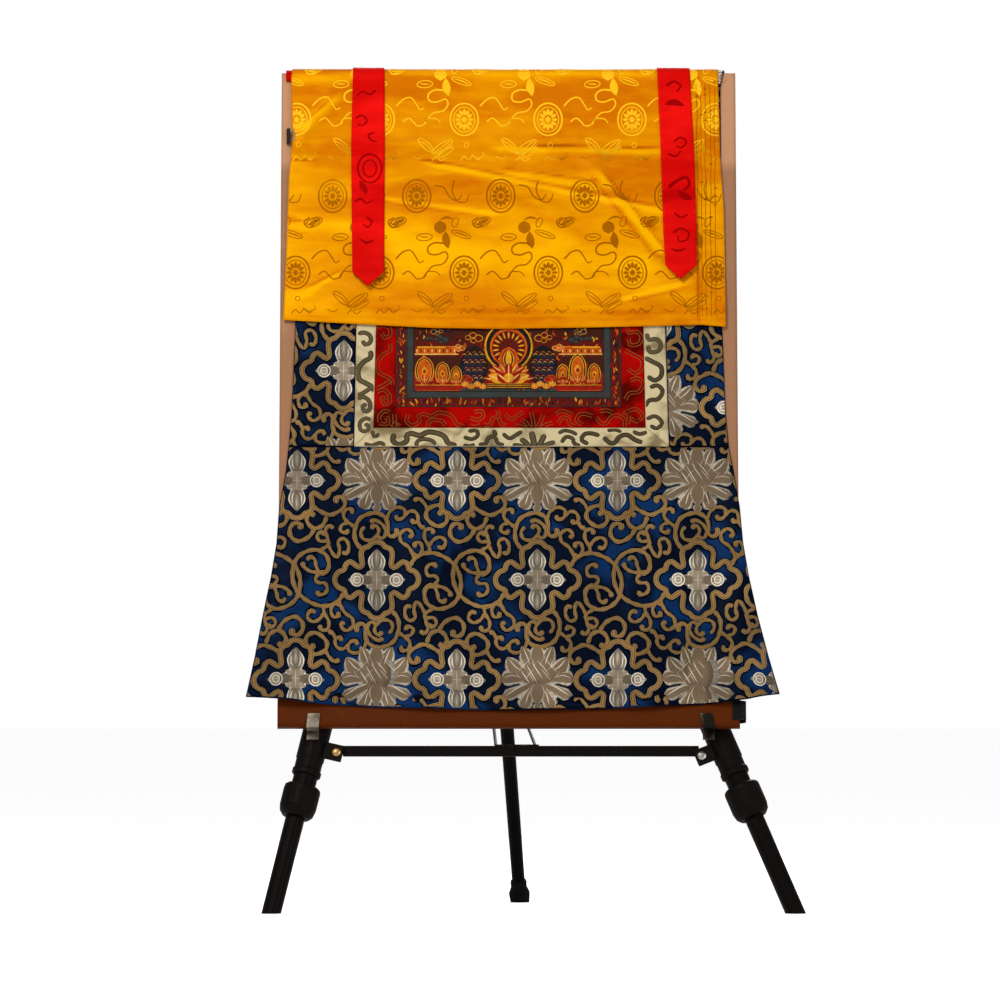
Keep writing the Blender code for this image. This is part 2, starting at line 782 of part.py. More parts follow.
def rear_point(z):
    """A place on the rear leg's axis at a height."""
    top = on_board(HUB_U, HUB_LOW_S, -BOARD_THICK - LEG_STAND_OFF - REAR_HUB_OFFSET)
    foot = Vector((BOARD_X, BOARD_Y, 0.0)) + REAR_FOOT
    return foot.lerp(top, z / top.z)


def line_frame(start, end, back=WORLD_BACK):
    """Axes whose Z runs from start to end and whose Y faces away from the front."""
    z = (end - start).normalized()
    x = back.cross(z).normalized()
    y = z.cross(x)
    frame = Matrix((x, y, z)).transposed().to_4x4()
    frame.translation = start
    return frame


def tube(name, start, end, radius_start, radius_end, finish, parts, cuts=()):
    """A round bar between two places, cut off flat by planes given as (place, normal)."""
    bm = bmesh.new()
    length = (end - start).length
    bmesh.ops.create_cone(
        bm,
        cap_ends=True,
        segments=SIDES,
        radius1=radius_start,
        radius2=radius_end,
        depth=length,
        matrix=Matrix.Translation((0.0, 0.0, length / 2.0)),
    )
    frame = line_frame(start, end)
    inverse = frame.inverted()
    for place, normal in cuts:
        everything = bm.verts[:] + bm.edges[:] + bm.faces[:]
        cut = bmesh.ops.bisect_plane(
            bm,
            geom=everything,
            plane_co=inverse @ place,
            plane_no=inverse.to_3x3() @ normal,
            clear_outer=True,
        )
        rim = [item for item in cut["geom_cut"] if isinstance(item, bmesh.types.BMEdge)]
        bmesh.ops.holes_fill(bm, edges=rim)
    mesh = mesh_from(bm, name, math.radians(35.0))
    return add_object(name, mesh, finish, frame, parts)


def turned(name, profile, matrix, finish, parts, cyclic):
    """A turned piece: a profile of radius and height, run round its axis by a Screw modifier."""
    mesh = bpy.data.meshes.new(name)
    verts = [(radius, 0.0, height) for radius, height in profile]
    edges = [(i, i + 1) for i in range(len(verts) - 1)]
    if cyclic:
        edges.append((len(verts) - 1, 0))
    mesh.from_pydata(verts, edges, [])
    piece = add_object(name, mesh, finish, matrix, parts)
    screw = piece.modifiers.new("turn", "SCREW")
    screw.steps = SIDES
    screw.render_steps = SIDES
    screw.use_merge_vertices = True
    screw.merge_threshold = 0.00005
    screw.use_smooth_shade = True
    return piece


def ring_profile(outer, bore):
    """A closed ring's profile: its outside from top to bottom, then its bore from bottom to top."""
    low, high = outer[-1][1], outer[0][1]
    return list(outer) + [(bore[1], low)] + [(bore[0], high)]


FLOOR_CUT = (Vector((0.0, 0.0, 0.0)), Vector((0.0, 0.0, -1.0)))


def hub_cut():
    """The plane just below the hub, where the legs end."""
    return on_board(0.0, HUB_LOW_S - GAP, 0.0), BOARD.to_3x3() @ Vector((0.0, 1.0, 0.0))


def build_front_leg(label, foot_x, side, parts):
    """A front leg: upper tube, sleeve with its ear, ring, twist-lock knob and lower tube."""
    low = leg_point(foot_x, side, -0.020)
    high = leg_point(foot_x, side, 1.040)
    junction = leg_point(foot_x, side, JUNCTION_Z)
    axis = (high - low).normalized()
    tube(f"lower_tube_{label}", low, junction, LOWER_RADIUS, LOWER_RADIUS, "black", parts, [FLOOR_CUT])
    start = junction + axis * GAP
    tube(f"upper_tube_{label}", start, high, UPPER_RADIUS, UPPER_RADIUS, "black", parts, [hub_cut()])

    base = leg_point(foot_x, side, 0.0)
    frame = line_frame(base, high, BOARD_BACK)
    stretch = (high - base).length / (high.z - base.z)
    knob_low, knob_high = KNOB_LOW_Z * stretch, KNOB_HIGH_Z * stretch
    step = JUNCTION_Z * stretch
    wide = KNOB_RADIUS
    knob = (
        # radius, height along the leg
        (wide - 0.0030, knob_high),
        (wide - 0.0008, knob_high - 0.0020),
        (wide, knob_high - 0.0060),
        (wide, knob_low + 0.0140),
        (wide - 0.0020, knob_low + 0.0050),
        (wide - 0.0065, knob_low),
        (LOWER_RADIUS + GAP, knob_low),
        (LOWER_RADIUS + GAP, step - 0.0010),
        (UPPER_RADIUS + GAP, step - 0.0010),
        (UPPER_RADIUS + GAP, knob_high),
    )
    turned(f"knob_{label}", knob, frame, "black", parts, cyclic=True)

    bore = UPPER_RADIUS + GAP
    ring_low, ring_high = RING_LOW_Z * stretch, RING_HIGH_Z * stretch
    ring = (
        # radius, height along the leg
        (SLEEVE_RADIUS - 0.0008, ring_high),
        (SLEEVE_RADIUS + 0.0006, ring_high - 0.0015),
        (SLEEVE_RADIUS + 0.0006, ring_low + 0.0015),
        (SLEEVE_RADIUS - 0.0008, ring_low),
        (bore, ring_low),
        (bore, ring_high),
    )
    turned(f"ring_{label}", ring, frame, "black", parts, cyclic=True)

    sleeve_low, sleeve_high = ring_high + GAP, SLEEVE_HIGH_Z * stretch
    sleeve = (
        # radius, height along the leg
        (SLEEVE_RADIUS, sleeve_high),
        (SLEEVE_RADIUS, SLEEVE_LOW_Z * stretch),
        (SLEEVE_RADIUS - 0.0010, SLEEVE_LOW_Z * stretch - 0.0010),
        (SLEEVE_RADIUS - 0.0010, sleeve_low),
        (bore, sleeve_low),
        (bore, sleeve_high),
    )
    turned(f"sleeve_{label}", sleeve, frame, "black", parts, cyclic=True)
    build_ear(label, foot_x, side, frame, stretch, parts)


def build_ear(label, foot_x, side, frame, stretch, parts):
    """The flat ear on a sleeve, which carries the crossbar's end, and its bolt."""
    near = -side * (math.sqrt(SLEEVE_RADIUS**2 - EAR_OFFSET**2) + GAP)
    far = -side * EAR_REACH
    middle = (BAR_Z + 0.0010) * stretch
    half = EAR_HEIGHT / 2.0
    back = -EAR_OFFSET
    front = back - EAR_THICK
    low = (min(near, far), front, middle - half)
    high = (max(near, far), back, middle + half)
    ear = box_mesh(f"ear_{label}", low, high, 0.0012)
    add_object(f"ear_{label}", ear, "black", frame, parts)
    reach = far + side * BOLT_INSET
    centre = frame @ Vector((reach, front - GAP, middle))
    head = (
        # radius, height
        (0.0, BOLT_HEAD),
        (BOLT_RADIUS * 0.55, BOLT_HEAD * 0.92),
        (BOLT_RADIUS * 0.90, BOLT_HEAD * 0.55),
        (BOLT_RADIUS, 0.0),
        (0.0, 0.0),
    )
    forward = frame.to_3x3() @ Vector((0.0, -1.0, 0.0))
    matrix = line_frame_towards(centre, forward)
    finish = "brass" if side < 0 else "steel"
    turned(f"bolt_{label}", head, matrix, finish, parts, cyclic=False)


def line_frame_towards(place, direction):
    """Axes at a place whose Z runs along a direction."""
    frame = direction.to_track_quat("Z", "Y").to_matrix().to_4x4()
    frame.translation = place
    return frame


def build_rear_leg(parts):
    """The rear leg, its collar for the struts and its rubber foot."""
    top = rear_point(1.040)
    foot_top = rear_point(REAR_FOOT_HIGH)
    cuts = [hub_cut()]
    tube("rear_leg", foot_top, top, REAR_LOW_RADIUS, REAR_TOP_RADIUS, "black", parts, cuts)
    base = rear_point(0.0)
    frame = line_frame(base, top)
    length = (foot_top - base).length - GAP
    floor = 0.0042
    foot = (
        # radius, height along the leg
        (0.0, length),
        (0.0105, length),
        (0.0112, length - 0.0030),
        (0.0108, length - 0.0090),
        (0.0142, length - 0.0170),
        (0.0142, length - 0.0210),
        (0.0120, floor - 0.0100),
        (0.0, floor - 0.0100),
    )
    piece = turned("rear_foot", foot, frame, "rubber", parts, cyclic=False)
    cut_at_floor(piece, parts)

    taper = (REAR_TOP_RADIUS - REAR_LOW_RADIUS) / (top - foot_top).length
    middle = (rear_point(COLLAR_Z) - base).length
    bore = REAR_LOW_RADIUS + taper * (middle + COLLAR_HALF) + GAP
    collar = (
        # radius, height along the leg
        (COLLAR_RADIUS, middle + COLLAR_HALF),
        (COLLAR_RADIUS, middle - COLLAR_HALF),
        (bore, middle - COLLAR_HALF),
        (bore, middle + COLLAR_HALF),
    )
    turned("rear_collar", collar, frame, "black", parts, cyclic=True)


def cut_at_floor(piece, parts):
    """Cuts a turned piece off flat at the floor, so that it stands on a face."""
    bpy.context.view_layer.update()
    evaluated = piece.evaluated_get(bpy.context.evaluated_depsgraph_get())
    mesh = bpy.data.meshes.new_from_object(evaluated)
    bm = bmesh.new()
    bm.from_mesh(mesh)
    inverse = piece.matrix_world.inverted()
    everything = bm.verts[:] + bm.edges[:] + bm.faces[:]
    cut = bmesh.ops.bisect_plane(
        bm,
        geom=everything,
        plane_co=inverse @ FLOOR_CUT[0],
        plane_no=inverse.to_3x3() @ FLOOR_CUT[1],
        clear_outer=True,
    )
    rim = [item for item in cut["geom_cut"] if isinstance(item, bmesh.types.BMEdge)]
    bmesh.ops.holes_fill(bm, edges=rim)
    bmesh.ops.recalc_face_normals(bm, faces=bm.faces)
    bm.to_mesh(mesh)
    bm.free()
    piece.modifiers.clear()
    piece.data = mesh


def build_hub(parts):
    """The hub that the three legs hang from, with its front face against the board's back."""
    back = -BOARD_THICK - GAP
    low = (HUB_U - HUB_HALF_WIDTH, HUB_LOW_S, back - HUB_DEPTH)
    high = (HUB_U + HUB_HALF_WIDTH, HUB_HIGH_S, back)
    add_object("hub", box_mesh("hub", low, high, 0.006), "black", BOARD, parts)


def build_hooks(parts):
    """Two bent plates that carry the board's lower edge, each from a sleeve round to the front."""
    half = HOOK_WIDTH / 2.0
    thick = HOOK_THICK
    back = -BOARD_THICK - LEG_STAND_OFF + SLEEVE_RADIUS + GAP
    for name, u, lean, lip in HOOKS:
        outline = (
            # n, s
            (back, -0.0130),
            (back + thick, -0.0130),
            (back + thick, -GAP - thick),
            (GAP + 0.0004 + thick, -GAP - thick),
            (GAP + 0.0004 + thick, lip),
            (GAP + 0.0004, lip),
            (GAP + 0.0004, -GAP),
            (back, -GAP),
        )
        bm = bmesh.new()
        face = bm.faces.new([bm.verts.new((u - half, s, n)) for n, s in outline])
        made = bmesh.ops.extrude_face_region(bm, geom=[face])
        moved = [item for item in made["geom"] if isinstance(item, bmesh.types.BMVert)]
        bmesh.ops.translate(bm, verts=moved, vec=(HOOK_WIDTH, 0.0, 0.0))
        for vert in bm.verts:
            if vert.co.y > 0.0:
                vert.co.x += lean * vert.co.y
        add_object(name, mesh_from(bm, name, math.radians(35.0)), "steel", BOARD, parts)


def build_crossbar(parts):
    """The crossbar's two halves, the plate that joins them, and the struts to the rear leg."""
    front = -BOARD_THICK - LEG_STAND_OFF + EAR_OFFSET - GAP
    back = front - BAR_THICK
    middle = (BAR_Z - BOARD_BASE_Z - front * math.sin(BOARD_LEAN)) / math.cos(BOARD_LEAN)
    low_s, high_s = middle - BAR_HEIGHT / 2.0, middle + BAR_HEIGHT / 2.0
    halves = (
        ("crossbar_left", BAR_LEFT_X, BAR_MIDDLE_X - GAP),
        ("crossbar_right", BAR_MIDDLE_X, BAR_RIGHT_X),
    )
    for name, left, right in halves:
        mesh = box_mesh(name, (left, low_s, back), (right, high_s, front), 0.0012)
        add_object(name, mesh, "black", BOARD, parts)

    plate_front = back - GAP
    plate_back = plate_front - PLATE_THICK
    plate_top = high_s + PLATE_RISE
    low = (PLATE_LEFT_X, plate_top - PLATE_HEIGHT, plate_back)
    high = (PLATE_RIGHT_X, plate_top, plate_front)
    mesh = box_mesh("centre_plate", low, high, 0.0008)
    add_object("centre_plate", mesh, "black", BOARD, parts)

    collar = rear_point(COLLAR_Z)
    struts = (
        ("strut_left", PLATE_LEFT_X + 0.0025, -1.0),
        ("strut_right", PLATE_RIGHT_X - 0.0035, 1.0),
    )
    for name, u, side in struts:
        start = on_board(u, plate_top - 0.0045, plate_back - 0.45 * STRUT_RADIUS - GAP)
        end = collar + Vector((side * (COLLAR_RADIUS + STRUT_RADIUS + 2.0 * GAP), 0.0, 0.0))
        tube(name, start, end, STRUT_RADIUS, STRUT_RADIUS, "black", parts)


def main():
    """Builds the whole part."""
    clear_scene()
    parts = bpy.data.collections.new("thangka_scroll_painting")
    bpy.context.scene.collection.children.link(parts)
    build_board(parts)
    build_painting_and_borders(parts)
    build_brocade(parts)
    build_veil(parts)
    build_ribbons(parts)
    build_under_cloth(parts)
    build_clips(parts)
    build_hub(parts)
    build_front_leg("left", LEFT_FOOT_X, -1.0, parts)
    build_front_leg("right", RIGHT_FOOT_X, 1.0, parts)
    build_rear_leg(parts)
    build_hooks(parts)
    build_crossbar(parts)
    for unused in list(bpy.data.materials):
        if unused.users == 0:
            bpy.data.materials.remove(unused)


main()
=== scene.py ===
"""Looks of a silk-mounted scroll painting that hangs over a leaning board on a tripod easel.

Everything on the board is worked out in the board's own axes: u across it, s up its face and n
straight out of its face. Cloth that goes over the top edge is laid along a path v, which is s on the
face and runs on over the edge and down the back. Sizes are in metres, and the charts of the woven
patterns are in millimetres.
"""

from __future__ import annotations

import logging
import math
from collections.abc import Callable, Sequence
from dataclasses import dataclass, field, replace
from enum import Enum

import bpy
import numpy as np
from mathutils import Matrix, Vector


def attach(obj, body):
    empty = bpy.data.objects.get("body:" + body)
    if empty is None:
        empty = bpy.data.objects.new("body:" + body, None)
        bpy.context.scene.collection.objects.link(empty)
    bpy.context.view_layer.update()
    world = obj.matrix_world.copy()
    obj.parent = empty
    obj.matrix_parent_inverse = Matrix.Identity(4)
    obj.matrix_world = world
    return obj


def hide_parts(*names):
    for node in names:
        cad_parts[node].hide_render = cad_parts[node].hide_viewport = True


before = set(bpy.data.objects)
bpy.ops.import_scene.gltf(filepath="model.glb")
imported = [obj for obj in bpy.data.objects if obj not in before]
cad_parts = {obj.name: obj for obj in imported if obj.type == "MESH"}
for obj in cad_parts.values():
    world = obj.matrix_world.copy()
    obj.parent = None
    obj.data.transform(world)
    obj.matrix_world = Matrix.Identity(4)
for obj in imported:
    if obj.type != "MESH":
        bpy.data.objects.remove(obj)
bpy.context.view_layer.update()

LOG = logging.getLogger("scroll_painting")
MM = 0.001
BODY = "root"

Array = np.ndarray
Colour = tuple[float, float, float]
Point = tuple[float, float]
Lift = Callable[[Array, Array], Array]
Shape = Callable[[Array, Array], tuple[Array, Array]]


def smooth_step(x: Array) -> Array:
    """0 below 0, 1 above 1, and 3x^2 - 2x^3 between them."""
    x = np.clip(x, 0.0, 1.0)
    return x * x * (3.0 - 2.0 * x)


def along(rows: Sequence[Sequence[float]], place: Array, index: int) -> Array:
    """Reads a table's column at places given by its first column."""
    table = np.array(rows)
    return np.interp(place, table[:, 0], table[:, index])


@dataclass(frozen=True)
class BoardAxes:
    """The leaning board's place, size and own axes, as the part has them."""

    lean: float = math.radians(16.3)
    x: float = -0.0221
    y: float = -0.2618
    z: float = 0.246
    width: float = 0.610
    height: float = 0.914
    thick: float = 0.018
    edge: float = 0.005
    path_offset: float = 0.003

    @property
    def face_end(self) -> float:
        """Where the face turns into the rounded top edge."""
        return self.height - self.edge

    @property
    def arc(self) -> float:
        """Length of the path round one rounded edge."""
        return (self.edge + self.path_offset) * math.pi / 2

    @property
    def back_start(self) -> float:
        """Where the path starts down the board's back."""
        return self.face_end + 2 * self.arc + self.thick - 2 * self.edge

    def world(self, u: Array, s: Array, n: Array) -> Array:
        """Places in the world: the board's corner plus u, s and n along its own axes."""
        sin, cos = math.sin(self.lean), math.cos(self.lean)
        u, s, n = np.broadcast_arrays(u, s, n)
        return np.stack([self.x + u, self.y + s * sin - n * cos, self.z + s * cos + n * sin], -1)

    def path(self, v: Array, d: Array) -> tuple[Array, Array]:
        """Height s and depth n of path places v, a distance d above the board.

        On the face s is v and n is d. Round each edge the place turns through a quarter circle of
        radius edge + d. Between the edges n falls as v grows, and down the back s falls.
        """
        radius = self.edge + d
        first = np.clip((v - self.face_end) / self.arc, 0.0, 1.0) * math.pi / 2
        top = self.face_end + self.arc
        turn = top + self.thick - 2 * self.edge
        second = np.clip((v - turn) / self.arc, 0.0, 1.0) * math.pi / 2
        back = self.edge - self.thick
        s = np.where(v > self.face_end, self.face_end + radius * np.sin(first), v)
        n = np.where(v > self.face_end, radius * np.cos(first) - self.edge, d)
        s = np.where(v > top, self.height + d, s)
        n = np.where(v > top, -self.edge - (v - top), n)
        s = np.where(v > turn, self.face_end + radius * np.cos(second), s)
        n = np.where(v > turn, back - radius * np.sin(second), n)
        s = np.where(v > self.back_start, self.face_end - (v - self.back_start), s)
        n = np.where(v > self.back_start, back - radius, n)
        return s, n

    def lay(self, u: Array, v: Array, lift: Array) -> Array:
        """Places in the world of path places (u, v), lifted off the board."""
        s, n = self.path(v, lift)
        return self.world(u, s, n)


BOARD = BoardAxes()


@dataclass(frozen=True)
class Drape:
    """How far each layer of cloth stands off the board, with its folds."""

    board: BoardAxes = BOARD
    rest: float = 0.0004
    edge_clear: float = 0.0021
    brocade_thick: float = 0.0015
    strip_thick: float = 0.0013
    painting_thick: float = 0.0012
    veil_thick: float = 0.0012
    ribbon_thick: float = 0.0012
    veil_gap: float = 0.0022
    ribbon_gap: float = 0.0021
    ribbon_stand_off: float = 0.0065
    ribbon_stand_length: float = 0.070
    droop: float = 4.0
    droop_start: float = 0.300
    swell_full: float = 0.75
    ridge_fade: float = 0.030
    beside_start: float = 0.262
    beside_rise: float = 0.0008
    veil_hem_rise: float = 0.0022
    # u at the top, u at the hem, s where it fades out, height at the hem, half-width
    swells: tuple[tuple[float, ...], ...] = (
        (-0.245, -0.290, 0.400, 0.0085, 0.040),
        (-0.095, -0.100, 0.430, 0.0050, 0.045),
        (0.040, 0.045, 0.380, 0.0040, 0.055),
        (0.180, 0.180, 0.420, 0.0060, 0.042),
        (0.295, 0.325, 0.400, 0.0090, 0.034),
    )
    # u and s at one end, u and s at the other, height, half-width
    creases: tuple[tuple[float, ...], ...] = (
        (-0.290, 0.808, 0.280, 0.815, 0.0030, 0.012),
        (-0.166, 0.788, 0.200, 0.705, 0.0030, 0.013),
        (0.105, 0.790, 0.198, 0.640, 0.0032, 0.012),
        (-0.290, 0.800, -0.235, 0.885, 0.0028, 0.011),
        (0.160, 0.580, 0.262, 0.618, 0.0024, 0.012),
        (-0.240, 0.575, -0.180, 0.625, 0.0022, 0.013),
    )
    # Smaller creases that only the fine surface has
    small_creases: tuple[tuple[float, ...], ...] = (
        (-0.130, 0.812, 0.060, 0.762, 0.0012, 0.007),
        (0.020, 0.770, 0.190, 0.742, 0.0013, 0.006),
        (0.135, 0.745, 0.196, 0.690, 0.0014, 0.006),
        (-0.285, 0.690, -0.215, 0.660, 0.0010, 0.008),
        (-0.150, 0.660, 0.010, 0.648, 0.0008, 0.010),
        (-0.285, 0.612, -0.200, 0.590, 0.0011, 0.007),
        (0.020, 0.600, 0.150, 0.580, 0.0010, 0.008),
        (-0.120, 0.585, 0.000, 0.572, 0.0010, 0.007),
        (-0.275, 0.872, -0.190, 0.845, 0.0010, 0.008),
        (0.030, 0.868, 0.150, 0.880, 0.0009, 0.009),
    )
    # Wide soft ridges down the skirt that only the fine surface has
    pulls: tuple[tuple[float, ...], ...] = (
        (-0.203, 0.350, -0.196, 0.040, 0.0024, 0.024),
        (-0.120, 0.340, -0.128, 0.040, 0.0018, 0.024),
        (0.225, 0.350, 0.212, 0.040, 0.0022, 0.024),
        (0.000, 0.300, -0.010, 0.060, 0.0012, 0.026),
        (0.100, 0.280, 0.110, 0.060, 0.0013, 0.026),
    )

    def swell(self, u: Array, s: Array) -> Array:
        """Sum over the swells of height times rise times exp(-(distance / half-width) squared)."""
        total = np.zeros(np.broadcast(u, s).shape)
        for u_top, u_hem, fade, height, half in self.swells:
            share = np.clip((fade - s) / fade, 0.0, 1.0)
            middle = u_top + (u_hem - u_top) * share
            rise = height * smooth_step(share / self.swell_full)
            total = total + rise * np.exp(-(((u - middle) / half) ** 2))
        return total

    def ridge(self, u: Array, v: Array, row: tuple[float, ...]) -> Array:
        """One soft ridge along a line, exp(-(distance / half-width) squared), faded at its ends."""
        u0, v0, u1, v1, height, half = row
        length = math.hypot(u1 - u0, v1 - v0)
        du, dv = (u1 - u0) / length, (v1 - v0) / length
        run = (u - u0) * du + (v - v0) * dv
        off = (v - v0) * du - (u - u0) * dv
        ends = smooth_step(run / self.ridge_fade + 0.5) * smooth_step((length - run) / self.ridge_fade + 0.5)
        return height * ends * np.exp(-((off / half) ** 2))

    def base(self, u: Array, v: Array) -> Array:
        """Lift of the brocade, the borders and the painting: flat, then clear of the board's edges."""
        to_edge = smooth_step((v - (self.board.face_end - 0.035)) / 0.030)
        lift = self.rest + (self.edge_clear - self.rest) * to_edge
        beside = smooth_step((np.abs(u) - self.beside_start) / 0.030) * smooth_step((0.350 - v) / 0.060)
        past = np.maximum(np.abs(u) - self.droop_start, 0.0)
        fold = (self.edge_clear + self.beside_rise - self.rest) * beside + self.swell(u, v)
        fold = fold - self.droop * past * past
        return lift + np.where(v < self.board.face_end, fold, 0.0)

    def skirt(self, u: Array, v: Array) -> Array:
        """Lift of the skirt: the base with its wide soft ridges."""
        return self.base(u, v) + sum(self.ridge(u, v, row) for row in self.pulls)

    def veil(self, u: Array, v: Array) -> Array:
        """Lift of the gold veil: over the brocade, with its creases and a lifted hem."""
        folds = sum(self.ridge(u, v, row) for row in self.creases + self.small_creases)
        folds = folds + self.veil_hem_rise * smooth_step((0.640 - v) / 0.080)
        lift = self.base(u, np.maximum(v, 0.500)) + self.veil_gap
        return lift + np.where(v < self.board.face_end, folds, 0.0)

    def ribbon(self, u: Array, v: Array, tip: float) -> Array:
        """Lift of a ribbon, which stands further off the veil towards its tip."""
        off = smooth_step((tip + self.ribbon_stand_length - v) / self.ribbon_stand_length)
        return self.veil(u, v) + self.ribbon_gap + self.ribbon_stand_off * off


DRAPE = Drape()


class Outline(Enum):
    """How a stroke's width runs from its start to its end."""

    BAND = "even, with round ends"
    TAPER = "narrower towards its end, with round ends"
    LEAF = "pointed at both ends"
    PETAL = "narrow at its base, pointed at its tip"
    DISC = "round"
    BAR = "even, with square ends"
    VINE = "lumpy, with a round start and a knob at its end"
    FLARE = "wide and blunt at its tip"

    def width(self, s: Array, length: float, width: float) -> Array:
        """Share of the full width at each place along a stroke.

        Args:
            s: places along it, from 0 to its length.
            length: its whole length.
            width: its full width.

        Returns:
            A round end is a half circle, a leaf is a sine arch and a disc is a circle.
        """
        t = s / length
        if self is Outline.BAR:
            return np.ones_like(s)
        if self is Outline.DISC:
            return np.maximum(np.sqrt(np.maximum(1.0 - (2.0 * t - 1.0) ** 2, 0.0)), 0.08)
        if self is Outline.LEAF:
            return np.maximum(np.sin(np.pi * t) ** 0.75, 0.05)
        if self is Outline.PETAL:
            return np.interp(
                t, (0.0, 0.15, 0.35, 0.60, 0.80, 0.92, 1.0), (0.60, 0.75, 0.95, 1.0, 0.74, 0.40, 0.06)
            )
        if self is Outline.FLARE:
            return np.interp(t, (0.0, 0.30, 0.55, 0.82, 0.94, 1.0), (0.50, 0.60, 0.80, 1.0, 0.80, 0.35))
        end = np.clip(np.minimum(s, length - s) / (width / 2), 0.0, 1.0)
        round_end = np.maximum(np.sqrt(np.maximum(1.0 - (1.0 - end) ** 2, 0.0)), 0.2)
        if self is Outline.VINE:
            knob = 0.45 * np.exp(-(((length - s) / width - 0.8) ** 2) / 0.5)
            return round_end * (1.0 + knob + 0.16 * np.sin(s / (width * 0.36)))
        return round_end * (1.0 - 0.35 * t if self is Outline.TAPER else 1.0)


@dataclass(frozen=True)
class Stroke:
    """A raised mark of woven thread or of paint: a smooth path with a width, in millimetres."""

    points: tuple[Point, ...]
    width: float
    outline: Outline = Outline.BAND
    height: float = 0.35
    tone: float = 0.0
    tint: Colour = (1.0, 1.0, 1.0)
    closed: bool = False
    flat: bool = False

    @staticmethod
    def ring(
        x: float, y: float, across: float, up: float, turn: float, width: float, **more: object
    ) -> Stroke:
        """An oval line round a middle, with its half-sizes and its turn in degrees."""
        angle = np.linspace(0.0, 2 * np.pi, 12, endpoint=False)
        a, b = across * np.cos(angle), up * np.sin(angle)
        cos, sin = math.cos(math.radians(turn)), math.sin(math.radians(turn))
        points = tuple(zip(x + a * cos - b * sin, y + a * sin + b * cos))
        return Stroke(points, width, closed=True, **more)

    @staticmethod
    def disc(x: float, y: float, across: float, up: float, **more: object) -> Stroke:
        """A filled oval with its half-sizes."""
        return Stroke(((x, y + up), (x, y), (x, y - up)), 2 * across, Outline.DISC, **more)

    def pair(self, gap: float) -> list[Stroke]:
        """Two lines on both sides of the stroke's path, a gap apart, drawn with its own width."""
        line = np.array(self.points, float)
        ahead = np.gradient(line, axis=0)
        scale = gap / 2 / np.linalg.norm(ahead, axis=1, keepdims=True)
        side = np.stack([-ahead[:, 1], ahead[:, 0]], -1) * scale
        return [replace(self, points=tuple(map(tuple, line + sign * side))) for sign in (-1, 1)]

    def mapped(self, turn: Callable[[float, float], Point]) -> Stroke:
        """The same stroke with each of its points moved by a rule."""
        return replace(self, points=tuple(turn(x, y) for x, y in self.points))

    def turned_half(self) -> Stroke:
        """The stroke turned half round the chart's middle."""
        return self.mapped(lambda x, y: (-x, -y))

    def mirrored(self) -> Stroke:
        """The stroke mirrored left to right."""
        return self.mapped(lambda x, y: (-x, y))

    def flipped(self) -> Stroke:
        """The stroke mirrored top to bottom."""
        return self.mapped(lambda x, y: (x, -y))

    def moved(self, dx: float, dy: float) -> Stroke:
        """The stroke moved across and up."""
        return self.mapped(lambda x, y: (x + dx, y + dy))


def smooth_path(points: Array, closed: bool, per_span: int = 8) -> Array:
    """A Catmull-Rom curve: a cubic in each span, with half the chord of its neighbours as its slope."""
    if closed:
        line = np.vstack([points[-1:], points, points[:2]])
    else:
        line = np.vstack([2 * points[:1] - points[1:2], points, 2 * points[-1:] - points[-2:-1]])
    t = np.linspace(0.0, 1.0, per_span, endpoint=False)[None, :, None]
    a, b, c, d = (line[i : len(line) - 3 + i, None, :] for i in range(4))
    curve = 2 * b + (c - a) * t + (2 * a - 5 * b + 4 * c - d) * t**2 + (3 * b - a - 3 * c + d) * t**3
    curve = (curve / 2).reshape(-1, 2)
    return np.vstack([curve, points[:1] if closed else points[-1:]])


SECTIONS = {
    # Places across from -0.5 to 0.5, their share of the height, and the faces of an end
    "fine": ((-0.5, -0.2, 0.2, 0.5), (-0.15, 1.0, 1.0, -0.15), ((0, 1, 2, 3),)),
    "wide": (
        (-0.5, -0.33, 0.0, 0.33, 0.5, 0.0), (-0.15, 0.75, 1.0, 0.75, -0.15, -0.3),
        ((0, 1, 2, 5), (5, 2, 3, 4))
    ),
    "flat": ((-0.5, -0.48, 0.48, 0.5), (-0.3, 1.0, 1.0, -0.3), ((0, 1, 2, 3),)),
}
WIDE_STROKE = 3.5
BROAD_STROKE = 11.5
BROAD_STEP = 5.0


def section_of(stroke: Stroke) -> tuple[Array, ...]:
    """A stroke's section: places across, their share of the height, and the faces of an end."""
    if stroke.flat or stroke.width < BROAD_STROKE:
        name = "flat" if stroke.flat else "wide" if stroke.width >= WIDE_STROKE else "fine"
        return tuple(np.array(row) for row in SECTIONS[name])
    count = 2 * math.ceil(stroke.width / BROAD_STEP / 2) + 1
    places = np.linspace(-0.5, 0.5, count)
    heights = np.where(np.abs(places) > 0.499, -0.15, 1.0 - 0.8 * places**2)
    caps = [(count, j, j + 1, j + 2) for j in range(0, count - 1, 2)]
    return np.append(places, 0.0), np.append(heights, -0.3), np.array(caps)


